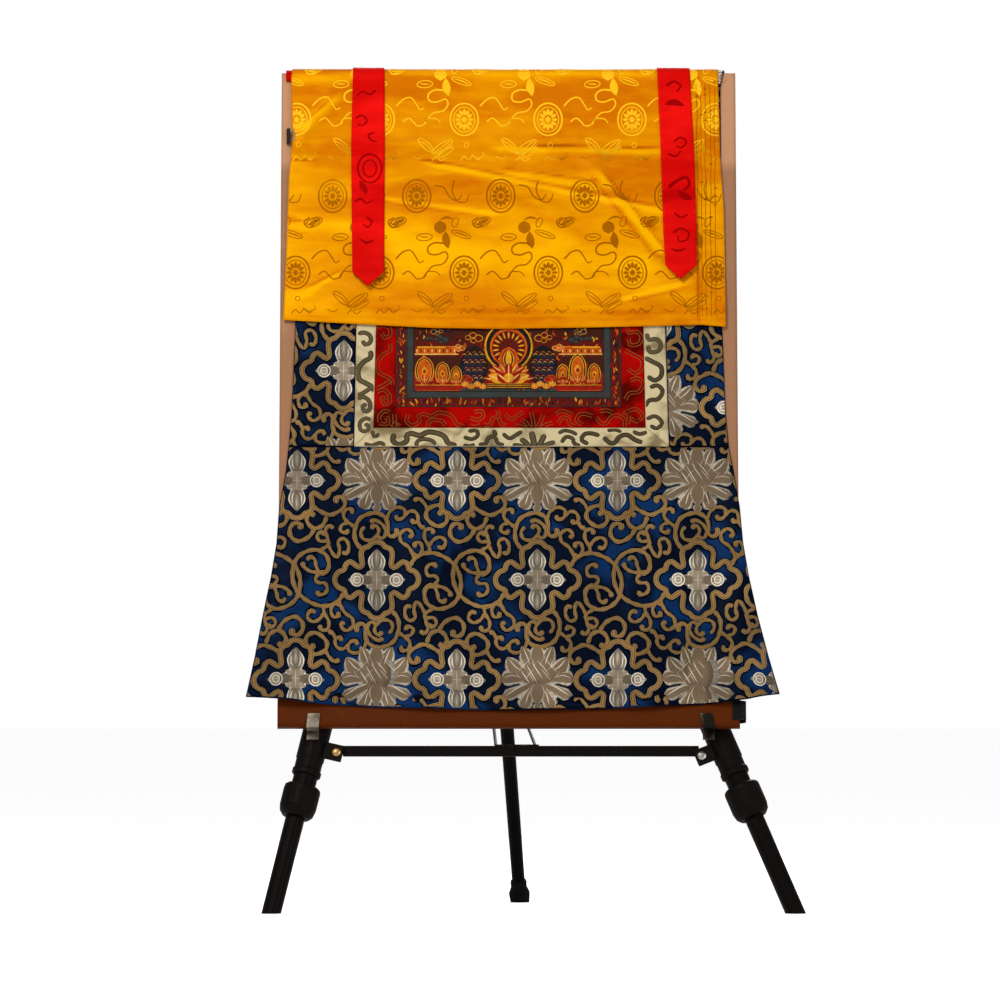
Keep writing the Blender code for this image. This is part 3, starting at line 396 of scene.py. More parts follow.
@dataclass
class Relief:
    """Many strokes as one low relief: points (u, v, height), faces and what the finishes read."""

    points: Array
    quads: Array
    across: Array
    run: Array
    tone: Array
    tint: Array

    @staticmethod
    def of_stroke(stroke: Stroke) -> Relief:
        """A stroke as a closed band: its section carried along its path, with both ends capped."""
        places, heights, caps = section_of(stroke)
        size = len(places)
        curve = smooth_path(np.array(stroke.points, float), stroke.closed)
        steps = np.linalg.norm(np.diff(curve, axis=0), axis=1)
        curve = curve[np.concatenate([[True], steps > 1e-6])]
        reach = np.concatenate([[0.0], np.cumsum(np.linalg.norm(np.diff(curve, axis=0), axis=1))])
        length = reach[-1]
        step = min(max(stroke.width * 0.6, 1.8 if stroke.flat else 1.2), 3.6)
        s = np.linspace(0.0, length, max(math.ceil(length / step), 4) + 1)
        if stroke.closed:
            s = s[:-1]
        elif stroke.outline in (Outline.BAND, Outline.TAPER, Outline.VINE):
            ends = stroke.width * np.array([0.07, 0.22])
            s = np.unique(np.concatenate([s, ends, length - ends]))
        middle = np.stack([np.interp(s, reach, curve[:, i]) for i in range(2)], -1)
        ahead = np.roll(middle, -1, 0) if stroke.closed else np.vstack([middle[1:], middle[-1:]])
        behind = np.roll(middle, 1, 0) if stroke.closed else np.vstack([middle[:1], middle[:-1]])
        heading = ahead - behind
        heading /= np.maximum(np.linalg.norm(heading, axis=1, keepdims=True), 1e-9)
        side = np.stack([-heading[:, 1], heading[:, 0]], -1)
        share = np.ones_like(s) if stroke.closed else stroke.outline.width(s, length, stroke.width)
        sideways = places[None, :] * (share * stroke.width)[:, None]
        flat = middle[:, None] + side[:, None] * sideways[..., None]
        top = np.ones_like(share) if stroke.flat else np.sqrt(share)
        rise = heights[None, :] * (stroke.height * top)[:, None]
        points = np.concatenate([flat, rise[..., None]], -1).reshape(-1, 3) * MM
        rings = len(s)
        first = np.arange(rings if stroke.closed else rings - 1)[:, None] * size
        j = np.arange(size)[None, :]
        nxt = (first + size) % (rings * size)
        j1 = (j + 1) % size
        quads = np.stack([first + j, nxt + j, nxt + j1, first + j1], -1).reshape(-1, 4)
        if not stroke.closed:
            quads = np.vstack([quads, caps, caps[:, ::-1] + (rings - 1) * size])
        count = len(points)
        across = np.tile(places + 0.5, rings)
        run = np.repeat(s * MM, size)
        tint = np.tile(np.array(stroke.tint), (count, 1))
        return Relief(points, quads, across, run, np.full(count, stroke.tone), tint)

    @staticmethod
    def merged(parts: Sequence[Relief]) -> Relief:
        """Several reliefs as one."""
        starts = np.cumsum([0] + [len(part.points) for part in parts[:-1]])
        return Relief(
            np.vstack([part.points for part in parts]),
            np.vstack([part.quads + start for part, start in zip(parts, starts)]),
            *(np.concatenate([getattr(part, name) for part in parts]) for name in ("across", "run", "tone")),
            np.vstack([part.tint for part in parts]),
        )

    @staticmethod
    def of(strokes: Sequence[Stroke]) -> Relief:
        """Several strokes as one relief."""
        return Relief.merged([Relief.of_stroke(stroke) for stroke in strokes])

    def tiled(self, places: Array) -> Relief:
        """A copy at each place."""
        count = len(places)
        points = np.tile(self.points, (count, 1))
        points[:, :2] += np.repeat(places, len(self.points), 0)
        shift = np.repeat(np.arange(count) * len(self.points), len(self.quads))[:, None]
        return Relief(
            points,
            np.tile(self.quads, (count, 1)) + shift,
            np.tile(self.across, count),
            np.tile(self.run, count),
            np.tile(self.tone, count),
            np.tile(self.tint, (count, 1)),
        )

    def clipped(self, panel: Panel) -> Relief:
        """The relief cut off at a panel's edges: points outside slide to the edge, whole faces go."""
        u, v = self.points[:, 0], self.points[:, 1]
        new_v = np.clip(v, panel.low(u), panel.high(u))
        new_u = np.clip(u, panel.left(new_v), panel.right(new_v))
        outside = (np.abs(new_u - u) > 1e-9) | (np.abs(new_v - v) > 1e-9)
        quads = self.quads[~outside[self.quads].all(1)]
        used, inverse = np.unique(quads, return_inverse=True)
        points = np.stack([new_u, new_v, self.points[:, 2]], -1)[used]
        rest = (getattr(self, name)[used] for name in ("across", "run", "tone", "tint"))
        return Relief(points, inverse.reshape(-1, 4), *rest)


@dataclass(frozen=True)
class Panel:
    """A cut of cloth by its four edges: left and right by height, low and high by place across."""

    left: Callable[[Array], Array]
    right: Callable[[Array], Array]
    low: Callable[[Array], Array]
    high: Callable[[Array], Array]

    @staticmethod
    def between(
        left: Sequence[Point], right: Sequence[Point], low: Sequence[Point], high: Sequence[Point]
    ) -> Panel:
        """A panel from four tables: (height, place) for its sides, (place, height) for the others."""

        def reader(rows: Sequence[Point]) -> Callable[[Array], Array]:
            table = np.array(rows)
            return lambda place: np.interp(place, table[:, 0], table[:, 1])

        return Panel(reader(left), reader(right), reader(low), reader(high))

    def shape(self, a: Array, b: Array) -> tuple[Array, Array]:
        """Places (u, v) of shares a across and b up the panel."""
        u = np.zeros_like(a)
        v = np.zeros_like(b)
        for _ in range(4):
            v = self.low(u) + (self.high(u) - self.low(u)) * b
            u = self.left(v) + (self.right(v) - self.left(v)) * a
        return u, v

    def shrunk(self, gap: float) -> Panel:
        """The same panel with its edges moved in."""
        return Panel(
            lambda v: self.left(v) + gap,
            lambda v: self.right(v) - gap,
            lambda u: self.low(u) + gap,
            lambda u: self.high(u) - gap,
        )


def new_object(
    name: str, points: Array, faces: Array, material: bpy.types.Material, uv: Array | None = None
) -> bpy.types.Object:
    """A smooth mesh object from whole arrays.

    Args:
        name: the piece's name.
        points: its points in the world.
        faces: its faces, four point numbers each.
        material: its finish.
        uv: a UV place for each point.

    Returns:
        The object, at the origin.
    """
    mesh = bpy.data.meshes.new(name)
    mesh.vertices.add(len(points))
    mesh.vertices.foreach_set("co", points.astype(np.float32).ravel())
    mesh.loops.add(faces.size)
    mesh.loops.foreach_set("vertex_index", faces.astype(np.int32).ravel())
    mesh.polygons.add(len(faces))
    mesh.polygons.foreach_set("loop_start", (np.arange(len(faces)) * 4).astype(np.int32))
    mesh.update(calc_edges=True)
    mesh.shade_smooth()
    if uv is not None:
        layer = mesh.uv_layers.new(name="UVMap")
        layer.uv.foreach_set("vector", uv[faces.ravel()].astype(np.float32).ravel())
    mesh.validate()
    mesh.materials.append(material)
    piece = bpy.data.objects.new(name, mesh)
    bpy.context.scene.collection.objects.link(piece)
    return piece


def add_attribute(piece: bpy.types.Object, name: str, values: Array) -> None:
    """Stores a number or a colour for each point, for the finish to read."""
    if values.ndim == 1:
        layer = piece.data.attributes.new(name, "FLOAT", "POINT")
        layer.data.foreach_set("value", values.astype(np.float32))
        return
    layer = piece.data.attributes.new(name, "FLOAT_COLOR", "POINT")
    full = np.concatenate([values, np.ones((len(values), 1))], 1)
    layer.data.foreach_set("color", full.astype(np.float32).ravel())


def dress(piece: bpy.types.Object, nodes: Sequence[str] = ()) -> bpy.types.Object:
    """Makes a piece ride on the body and hides the nodes it stands for."""
    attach(piece, BODY)
    if nodes:
        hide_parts(*nodes)
    LOG.info("%s: %d points, %d faces", piece.name, len(piece.data.vertices), len(piece.data.polygons))
    return piece


def relief_object(
    name: str, relief: Relief, lift: Lift, material: bpy.types.Material, flat: bool = False
) -> bpy.types.Object:
    """A relief laid on a sheet of cloth: each point lies its height above the sheet's lift."""
    u, v, height = relief.points.T
    points = BOARD.lay(u, v, lift(u, v) + height)
    uv = np.stack([relief.across, relief.run], -1)
    piece = new_object(name, points, relief.quads, material, uv)
    if len(piece.data.vertices) == len(points):
        add_attribute(piece, "tone", relief.tone)
        add_attribute(piece, "tint", relief.tint)
    if flat:
        piece.data.shade_flat()
    return piece


def grid_faces(rows: int, columns: int) -> Array:
    """The faces of a grid of rows by columns points, facing away from the board."""
    first = (np.arange(rows - 1)[:, None] * columns + np.arange(columns - 1)[None, :]).ravel()
    return np.stack([first, first + 1, first + columns + 1, first + columns], -1)


def cloth_object(
    name: str, shape: Shape, lift: Lift, size: tuple[Array, Array], thickness: float,
    material: bpy.types.Material
) -> tuple[bpy.types.Object, float]:
    """A sheet of cloth as a fine grid with a thickness, and its flat area.

    Args:
        name: the piece's name.
        shape: places (u, v) of shares across and up the sheet.
        lift: the distance of its back from the board.
        size: the shares across and up at which it has points.
        thickness: its thickness.
        material: its finish.

    Returns:
        The object and the area of its (u, v) places, which is the cut's.
    """
    a, b = np.meshgrid(size[0], size[1])
    u, v = shape(a, b)
    points = BOARD.lay(u, v, lift(u, v)).reshape(-1, 3)
    uv = np.stack([u.ravel(), v.ravel()], -1)
    piece = new_object(name, points, grid_faces(*a.shape), material, uv)
    solid = piece.modifiers.new("thickness", "SOLIDIFY")
    solid.thickness = thickness
    solid.offset = 1.0
    across = np.stack([u[1:, 1:] - u[:-1, :-1], v[1:, 1:] - v[:-1, :-1]])
    other = np.stack([u[1:, :-1] - u[:-1, 1:], v[1:, :-1] - v[:-1, 1:]])
    area = float(np.abs(across[0] * other[1] - across[1] * other[0]).sum() / 2)
    return piece, area


class Nodes:
    """Writes the nodes of a material or of a group."""

    def __init__(self, tree: bpy.types.NodeTree) -> None:
        """Keeps the tree that is written."""
        self.tree = tree

    def add(self, kind: str, inputs: dict | None = None, **settings: object) -> bpy.types.Node:
        """Adds a node, sets it up and fills its inputs with values or links."""
        node = self.tree.nodes.new(kind)
        for name, value in settings.items():
            setattr(node, name, value)
        for name, value in (inputs or {}).items():
            self.feed(node.inputs[name], value)
        return node

    def feed(self, socket: bpy.types.NodeSocket, value: object) -> None:
        """Links a socket to another, or sets its own value."""
        if isinstance(value, bpy.types.NodeSocket):
            self.tree.links.new(value, socket)
        elif isinstance(value, tuple) and len(value) == 3 and socket.type == "RGBA":
            socket.default_value = (*value, 1.0)
        else:
            socket.default_value = value

    def maths(self, operation: str, a: object, b: object = 0.0, clamp: bool = False) -> bpy.types.NodeSocket:
        """The result of a sum on two numbers."""
        node = self.add("ShaderNodeMath", operation=operation, use_clamp=clamp)
        self.feed(node.inputs[0], a)
        self.feed(node.inputs[1], b)
        return node.outputs[0]

    def mix(self, share: object, a: object, b: object, blend: str = "MIX") -> bpy.types.NodeSocket:
        """Two colours mixed by a share."""
        node = self.add("ShaderNodeMix", data_type="RGBA", blend_type=blend)
        self.feed(node.inputs[0], share)
        self.feed(node.inputs[6], a)
        self.feed(node.inputs[7], b)
        return node.outputs[2]

    def remap(
        self, value: object, low: float, high: float, to_low: float = 0.0, to_high: float = 1.0
    ) -> bpy.types.NodeSocket:
        """A number moved smoothly from one range to another, held at its ends."""
        inputs = {"Value": value, "From Min": low, "From Max": high, "To Min": to_low, "To Max": to_high}
        return self.add("ShaderNodeMapRange", inputs, interpolation_type="SMOOTHSTEP").outputs["Result"]

    def noise(
        self, vector: object, scale: float, detail: float = 2.0, distortion: float = 0.0
    ) -> bpy.types.NodeSocket:
        """Noise from 0 to 1."""
        inputs = {"Vector": vector, "Scale": scale, "Detail": detail, "Distortion": distortion}
        return self.add("ShaderNodeTexNoise", inputs).outputs["Fac"]

    def split(self, vector: object) -> list[bpy.types.NodeSocket]:
        """The three parts of a vector."""
        return list(self.add("ShaderNodeSeparateXYZ", {"Vector": vector}).outputs)

    def place(self, kind: str) -> bpy.types.NodeSocket:
        """Object or UV coordinates."""
        return self.add("ShaderNodeTexCoord").outputs[kind]

    def attribute(self, name: str, output: str = "Fac") -> bpy.types.NodeSocket:
        """A piece's own attribute."""
        return self.add("ShaderNodeAttribute", attribute_name=name).outputs[output]

    def stretched(self, vector: object, scale: tuple[float, float, float]) -> bpy.types.NodeSocket:
        """A vector with each of its parts scaled."""
        return self.add("ShaderNodeMapping", {"Vector": vector, "Scale": scale}).outputs[0]

    def group(self, tree: bpy.types.NodeTree, **inputs: object) -> bpy.types.Node:
        """A shared group with its own values."""
        node = self.add("ShaderNodeGroup", node_tree=tree)
        for name, value in inputs.items():
            self.feed(node.inputs[name.replace("_", " ")], value)
        return node


def new_group(
    name: str, inputs: dict[str, str], outputs: dict[str, str]
) -> tuple[bpy.types.NodeTree, Nodes, bpy.types.Node, bpy.types.Node]:
    """An empty node group with named sockets, its writer, and its two end nodes."""
    tree = bpy.data.node_groups.new(name, "ShaderNodeTree")
    for label, kind in inputs.items():
        tree.interface.new_socket(label, in_out="INPUT", socket_type=f"NodeSocket{kind}")
    for label, kind in outputs.items():
        tree.interface.new_socket(label, in_out="OUTPUT", socket_type=f"NodeSocket{kind}")
    write = Nodes(tree)
    return tree, write, write.add("NodeGroupInput"), write.add("NodeGroupOutput")


def weave_group() -> bpy.types.NodeTree:
    """Woven threads: two crossing sine waves of the thread's pitch, one slanted as in satin."""
    tree, write, start, end = new_group(
        "weave", {"Vector": "Vector", "Pitch": "Float"}, {"Height": "Float", "Shade": "Float"}
    )
    x, y, _ = write.split(start.outputs["Vector"])
    turns = write.maths("DIVIDE", 2 * math.pi, start.outputs["Pitch"])
    slant = write.maths("ADD", write.maths("MULTIPLY", x, 1.7), y)
    first = write.maths("SINE", write.maths("MULTIPLY", slant, turns))
    second = write.maths("SINE", write.maths("MULTIPLY", y, turns))
    both = write.maths("MULTIPLY_ADD", first, 0.25)
    write.feed(both.node.inputs[2], write.maths("MULTIPLY_ADD", second, 0.25))
    second_sum = both.node.inputs[2].links[0].from_node
    second_sum.inputs[2].default_value = 0.5
    write.feed(end.inputs["Height"], both)
    streak = write.noise(write.stretched(start.outputs["Vector"], (40.0, 900.0, 1.0)), 1.0, 1.0)
    write.feed(end.inputs["Shade"], write.remap(streak, 0.3, 0.7))
    return tree


def mottle_group() -> bpy.types.NodeTree:
    """Soft patches: one noise, with a chosen share of high patches."""
    sockets = {"Vector": "Vector", "Scale": "Float", "Low": "Float", "High": "Float"}
    tree, write, start, end = new_group("mottle", sockets, {"Mask": "Float"})
    large = write.add("ShaderNodeTexNoise", {
        "Vector": start.outputs["Vector"], "Scale": start.outputs["Scale"], "Detail": 3.0, "Distortion": 0.6
    })
    spread = write.add("ShaderNodeMapRange", {
        "Value": large.outputs["Fac"], "From Min": start.outputs["Low"], "From Max": start.outputs["High"]
    }, interpolation_type="SMOOTHSTEP")
    write.feed(end.inputs["Mask"], spread.outputs["Result"])
    return tree


def thread_group() -> bpy.types.NodeTree:
    """Laid threads along a stroke: a wave along its run, leaning with the place across it."""
    sockets = {"Across": "Float", "Run": "Float", "Pitch": "Float"}
    tree, write, start, end = new_group("thread", sockets, {"Height": "Float", "Edge": "Float"})
    lean = write.maths("MULTIPLY", start.outputs["Across"], 0.0018)
    turns = write.maths("DIVIDE", 2 * math.pi, start.outputs["Pitch"])
    wave = write.maths("SINE", write.maths("MULTIPLY", write.maths("ADD", start.outputs["Run"], lean), turns))
    write.feed(end.inputs["Height"], write.maths("MULTIPLY_ADD", wave, 0.5))
    end.inputs["Height"].links[0].from_node.inputs[2].default_value = 0.5
    off = write.maths("ABSOLUTE", write.maths("SUBTRACT", start.outputs["Across"], 0.5))
    write.feed(end.inputs["Edge"], write.remap(off, 0.29, 0.35))
    return tree


class Groups:
    """The shader groups that several finishes share, each made once."""

    def __init__(self) -> None:
        """Makes the groups."""
        self.weave = weave_group()
        self.mottle = mottle_group()
        self.thread = thread_group()


GROUPS = Groups()


def new_material(name: str, **values: object) -> tuple[bpy.types.Material, Nodes, bpy.types.Node]:
    """A material with a Principled shader whose even values are set on its own sockets."""
    material = bpy.data.materials.new(name)
    material.use_nodes = True
    shader = material.node_tree.nodes["Principled BSDF"]
    write = Nodes(material.node_tree)
    for label, value in {"Specular_IOR_Level": 0.2, **values}.items():
        write.feed(shader.inputs[label.replace("_", " ")], value)
    return material, write, shader


def bump(write: Nodes, shader: bpy.types.Node, height: object, strength: float, distance: float) -> None:
    """Feeds a height into the shader's normal."""
    node = write.add("ShaderNodeBump", {"Height": height, "Strength": strength, "Distance": distance})
    write.feed(shader.inputs["Normal"], node.outputs["Normal"])


@dataclass(frozen=True)
class SilkFinish:
    """A silk satin: two colours in soft patches of painted sheen and painted shade, a weave and a soft gloss.
    """

    name: str
    # The colours of its painted shade and of its painted sheen, in soft patches
    dark: Colour
    light: Colour
    patch: float = 14.0
    low: float = 0.35
    high: float = 0.65
    pitch: float = 0.0007
    rough: float = 0.45
    specular: float = 0.12
    gloss: Colour = (1.0, 1.0, 1.0)

    def build(self) -> bpy.types.Material:
        """Makes the material."""
        material, write, shader = new_material(
            self.name,
            Specular_IOR_Level=self.specular,
            Specular_Tint=self.gloss,
            Anisotropic=0.4,
        )
        uv = write.place("UV")
        mottle = write.group(GROUPS.mottle, Vector=uv, Scale=self.patch, Low=self.low, High=self.high)
        weave = write.group(GROUPS.weave, Vector=uv, Pitch=self.pitch)
        # Painted sheen and shade: soft patches between the dark and the light colour; fine streaks of the
        # weave then lighten it a little
        colour = write.mix(mottle.outputs["Mask"], self.dark, self.light)
        shade = write.maths("MULTIPLY", weave.outputs["Shade"], 0.10)
        colour = write.mix(shade, colour, self.light)
        write.feed(shader.inputs["Base Color"], colour)
        rough = write.maths("MULTIPLY_ADD", weave.outputs["Shade"], 0.14)
        rough.node.inputs[2].default_value = self.rough - 0.07
        write.feed(shader.inputs["Roughness"], rough)
        bump(write, shader, weave.outputs["Height"], 0.35, 0.00012)
        return material


@dataclass(frozen=True)
class ThreadFinish:
    """Woven metal thread: a core, painted shade along a groove, a paler edge, fine laid threads and a petal's
    bright rim.
    """

    name: str
    core: Colour
    edge: Colour
    bright: Colour
    metal: float = 0.35
    rough: float = 0.42
    pitch: float = 0.0011
    rim: float = 0.0
    # Strength of the painted shade lines along a groove on each side of the core
    groove: float = 0.55

    def build(self) -> bpy.types.Material:
        """Makes the material."""
        material, write, shader = new_material(self.name, Metallic=self.metal, Specular_IOR_Level=0.1)
        across, run, _ = write.split(write.place("UV"))
        thread = write.group(GROUPS.thread, Across=across, Run=run, Pitch=self.pitch)
        place = write.place("Object")
        colour = write.mix(thread.outputs["Edge"], self.core, self.edge)
        # Painted shade: two dark lines, about a quarter of the width out from the middle, where a groove's
        # shade would fall
        off = write.maths("ABSOLUTE", write.maths("SUBTRACT", across, 0.5))
        beside = write.maths("ABSOLUTE", write.maths("SUBTRACT", off, 0.23))
        groove = write.maths("SUBTRACT", 1.0, write.remap(beside, 0.03, 0.08))
        colour = write.mix(write.maths("MULTIPLY", groove, self.groove), colour, (0.03, 0.02, 0.01))
        height = thread.outputs["Height"]
        if self.rim:
            fleck = write.noise(place, 260.0, 1.0)
            glint = write.maths(
                "MULTIPLY", write.remap(thread.outputs["Edge"], 0.2, 0.7),
                write.remap(fleck, 0.3, 0.6, 0.2, self.rim)
            )
            colour = write.mix(glint, colour, self.bright)
            height = write.maths("ADD", height, write.maths("MULTIPLY", glint, 1.5))
        colour = write.mix(write.attribute("tone"), colour, self.bright)
        grain = write.noise(place, 700.0, 1.0)
        colour = write.mix(write.remap(grain, 0.35, 0.7, 0.0, 0.22), colour, self.edge)
        dull = write.remap(write.noise(place, 16.0, 2.0), 0.35, 0.70, 0.62, 1.0)
        shade = write.add("ShaderNodeCombineColor", {"Red": dull, "Green": dull, "Blue": dull})
        colour = write.mix(1.0, colour, shade.outputs[0], "MULTIPLY")
        write.feed(shader.inputs["Base Color"], colour)
        write.feed(
            shader.inputs["Roughness"], write.remap(grain, 0.3, 0.7, self.rough - 0.08, self.rough + 0.1)
        )
        bump(write, shader, height, 0.5, 0.0002)
        return material


BROCADE_PITCH = (0.2125, 0.276)

# The brocade's vines, in millimetres from the middle of a pair of interlocking circles
VINE = 6.3
SPRIG = 5.2
VINES: tuple[tuple[float, tuple[Point, ...]], ...] = (
    # width, points
    (VINE, (
        (63, -18), (54, -31), (36, -37), (18, -32), (4, -21), (-4, -5), (-5, 11), (-1, 26), (10, 37),
        (26, 41), (39, 34), (43, 21), (40, 11), (30, 8)
    )),
    (SPRIG, ((30, 8), (25, 0), (30, -5), (38, -5), (41, -13), (37, -20), (30, -21), (27, -16))),
    (SPRIG, ((30, 8), (26, 19), (24, 28), (18, 31), (14, 26))),
    (SPRIG, ((29, 9), (18, 11), (10, 17), (8, 24))),
    (SPRIG, ((-36, 35), (-37, 46), (-43, 57), (-42, 68), (-34, 70), (-31, 63))),
    (SPRIG, ((-37, 46), (-31, 55), (-22, 59), (-15, 53), (-19, 44), (-26, 46))),
    (SPRIG, ((-56, 25), (-59, 36), (-65, 46), (-74, 53), (-75, 64), (-66, 70), (-59, 63), (-64, 58))),
    (SPRIG, ((-59, 36), (-51, 33), (-46, 41), (-49, 51), (-56, 50), (-55, 44))),
    (VINE, (
        (-18, 103), (-29, 103), (-39, 97), (-41, 87), (-34, 78), (-24, 74), (-15, 79), (-13, 89), (-20, 95),
        (-24, 89)
    )),
    (SPRIG, ((-39, 97), (-43, 105), (-50, 112), (-58, 110))),
    (VINE, (
        (20, 103), (28, 97), (37, 92), (46, 90), (54, 94), (61, 98), (64, 107), (59, 115), (52, 113),
        (53, 106)
    )),
    (VINE, ((40, 88), (35, 76), (26, 71), (17, 75), (13, 85), (18, 92), (24, 88))),
    (VINE, ((24, 71), (18, 61), (10, 55), (0, 53), (-8, 60), (-9, 70), (-3, 78), (5, 76), (4, 69))),
    (SPRIG, ((32, 41), (42, 48), (41, 58), (38, 68), (43, 75), (49, 71))),
    (SPRIG, ((41, 54), (31, 53), (27, 61), (33, 66), (37, 61))),
    (SPRIG, ((42, 48), (48, 36), (54, 31), (57, 42), (55, 53), (63, 57), (69, 48), (67, 37), (60, 38))),
    (VINE, (
        (85, 43), (78, 54), (77, 69), (83, 84), (94, 91), (106, 93), (117, 87), (121, 76), (120, 66),
        (126, 60), (133, 65), (131, 72)
    )),
    (SPRIG, ((90, 74), (85, 66), (88, 57), (97, 55), (105, 60), (109, 69), (104, 76), (98, 71))),
    (SPRIG, ((106, 61), (114, 58), (118, 65), (116, 74), (110, 80), (103, 83), (97, 80))),
    (SPRIG, ((77, 73), (69, 79), (62, 87), (64, 96), (72, 98), (74, 91))),
    (SPRIG, ((69, 79), (60, 76), (58, 68), (65, 65), (69, 70))),
    (SPRIG, ((119, 84), (124, 96), (134, 101), (143, 97), (142, 87), (134, 84), (131, 90))),
    (SPRIG, ((142, 88), (150, 95), (158, 93), (161, 84), (156, 79), (151, 84))),
    (SPRIG, ((160, 82), (164, 74), (170, 71))),
)

# A quarter of the cloud frame round a cross, from its top to its right side
FRAME_QUARTER: tuple[Point, ...] = (
    (0, 53), (7, 51), (11, 46), (17, 44), (20.5, 38), (20, 29), (19, 21), (23, 17), (29, 21),
    (35, 25), (41, 21), (43, 14), (50, 11), (54.5, 5),
)
FRAME_WIDTH = 8.0

# Petals on the right of the lotus's heart: base, bend, tip, width and height
LOTUS_PETALS = (
    (((5, 6), (12, 24), (20, 47)), 22, 0.28, Outline.PETAL), (
        ((0, 8), (0, 28), (0, 50)), 27, 0.32, Outline.PETAL
    ),
    (((7, 2), (26, 11), (40, 31)), 27, 0.34, Outline.PETAL), (
        ((6, 0), (28, 3), (47, 2)), 24, 0.38, Outline.FLARE
    ),
    (((4, 6), (10, 17), (14, 33)), 21, 0.42, Outline.PETAL), (
        ((5, 1), (18, 8), (30, 20)), 21, 0.44, Outline.PETAL
    ),
    (((6, -6), (24, -14), (43, -23)), 19, 0.50, Outline.FLARE), (
        ((20, -12), (32, -19), (47, -20)), 12, 0.50, Outline.PETAL
    ),
    (((4, -6), (11, -22), (20, -39)), 22, 0.56, Outline.FLARE), (
        ((0, -2), (0, -14), (0, -34)), 26, 0.62, Outline.LEAF
    ),
    (((0, -31), (0, -38), (0, -45)), 14, 0.50, Outline.LEAF), (
        ((0, -2), (7, 8), (12, 19)), 17, 0.58, Outline.PETAL
    ),
    (((0, -3), (0, 8), (0, 24)), 18, 0.62, Outline.PETAL), (
        ((2, -3), (13, 0), (24, 7)), 16, 0.60, Outline.PETAL
    ),
)
# Bright lines on it: three points and width
LOTUS_LINES = (
    ((12, -6), (24, -10), (43, -22), 2.4), ((9, -14), (12, -20), (16, -35), 2.4), (
        (10, 20), (13, 30), (19, 45), 2.2
    ),
    ((20, 12), (29, 18), (38, 29), 2.2), ((24, 3), (33, 6), (44, 3), 1.6), (
        (-22, 13), (-16, 4), (-10, -6), 2.8
    ),
    ((-15, 22), (-8, 9), (0, -5), 2.2), ((-8, 25), (0, 12), (8, 0), 2.0), ((-1, 27), (8, 17), (17, 4), 1.4),
    ((-14, 12), (-9, 5), (-4, -4), 1.2), ((9, 30), (19, 18), (27, 10), 1.3), (
        (4, 16), (12, 6), (18, -2), 1.2
    ),
)

# Half of a cross's upper and right arms: path, width, outline, height and brightness
CROSS_PARTS = (
    (((0, 5), (0, 23), (0, 43)), 21.0, Outline.PETAL, 0.42, 0.20),
    (((5, 38), (10.5, 27), (8, 14)), 2.4, Outline.LEAF, 0.85, 1.0),
    (((0, 16), (0, 28), (0, 42)), 8.0, Outline.LEAF, 0.60, 0.45),
    (((0, 24), (0, 30), (0, 37)), 2.2, Outline.LEAF, 0.90, 1.0),
    (((3, 15), (6, 23), (5.5, 33)), 2.0, Outline.LEAF, 0.80, 1.0),
    (((-6, 0), (10, 0), (26, 0)), 19.0, Outline.LEAF, 0.44, 0.14),
    (((31, 0), (34, 0), (38, 0)), 6.0, Outline.LEAF, 0.50, 0.5),
    (((20, 0), (25, 0), (31, 0)), 3.6, Outline.LEAF, 0.85, 0.9),
    (((2, 5), (8, 9), (14, 10)), 8.0, Outline.LEAF, 0.50, 0.20),
    (((11, 7.5), (12.5, 7.5), (14, 7.5)), 3.2, Outline.LEAF, 0.85, 1.0),
)
CROSS_RINGS = ((26, 0, 8.2, 8.6), (-26, 0, 8.2, 8.6), (26, 0, 4.4, 4.8), (-26, 0, 4.4, 4.8))


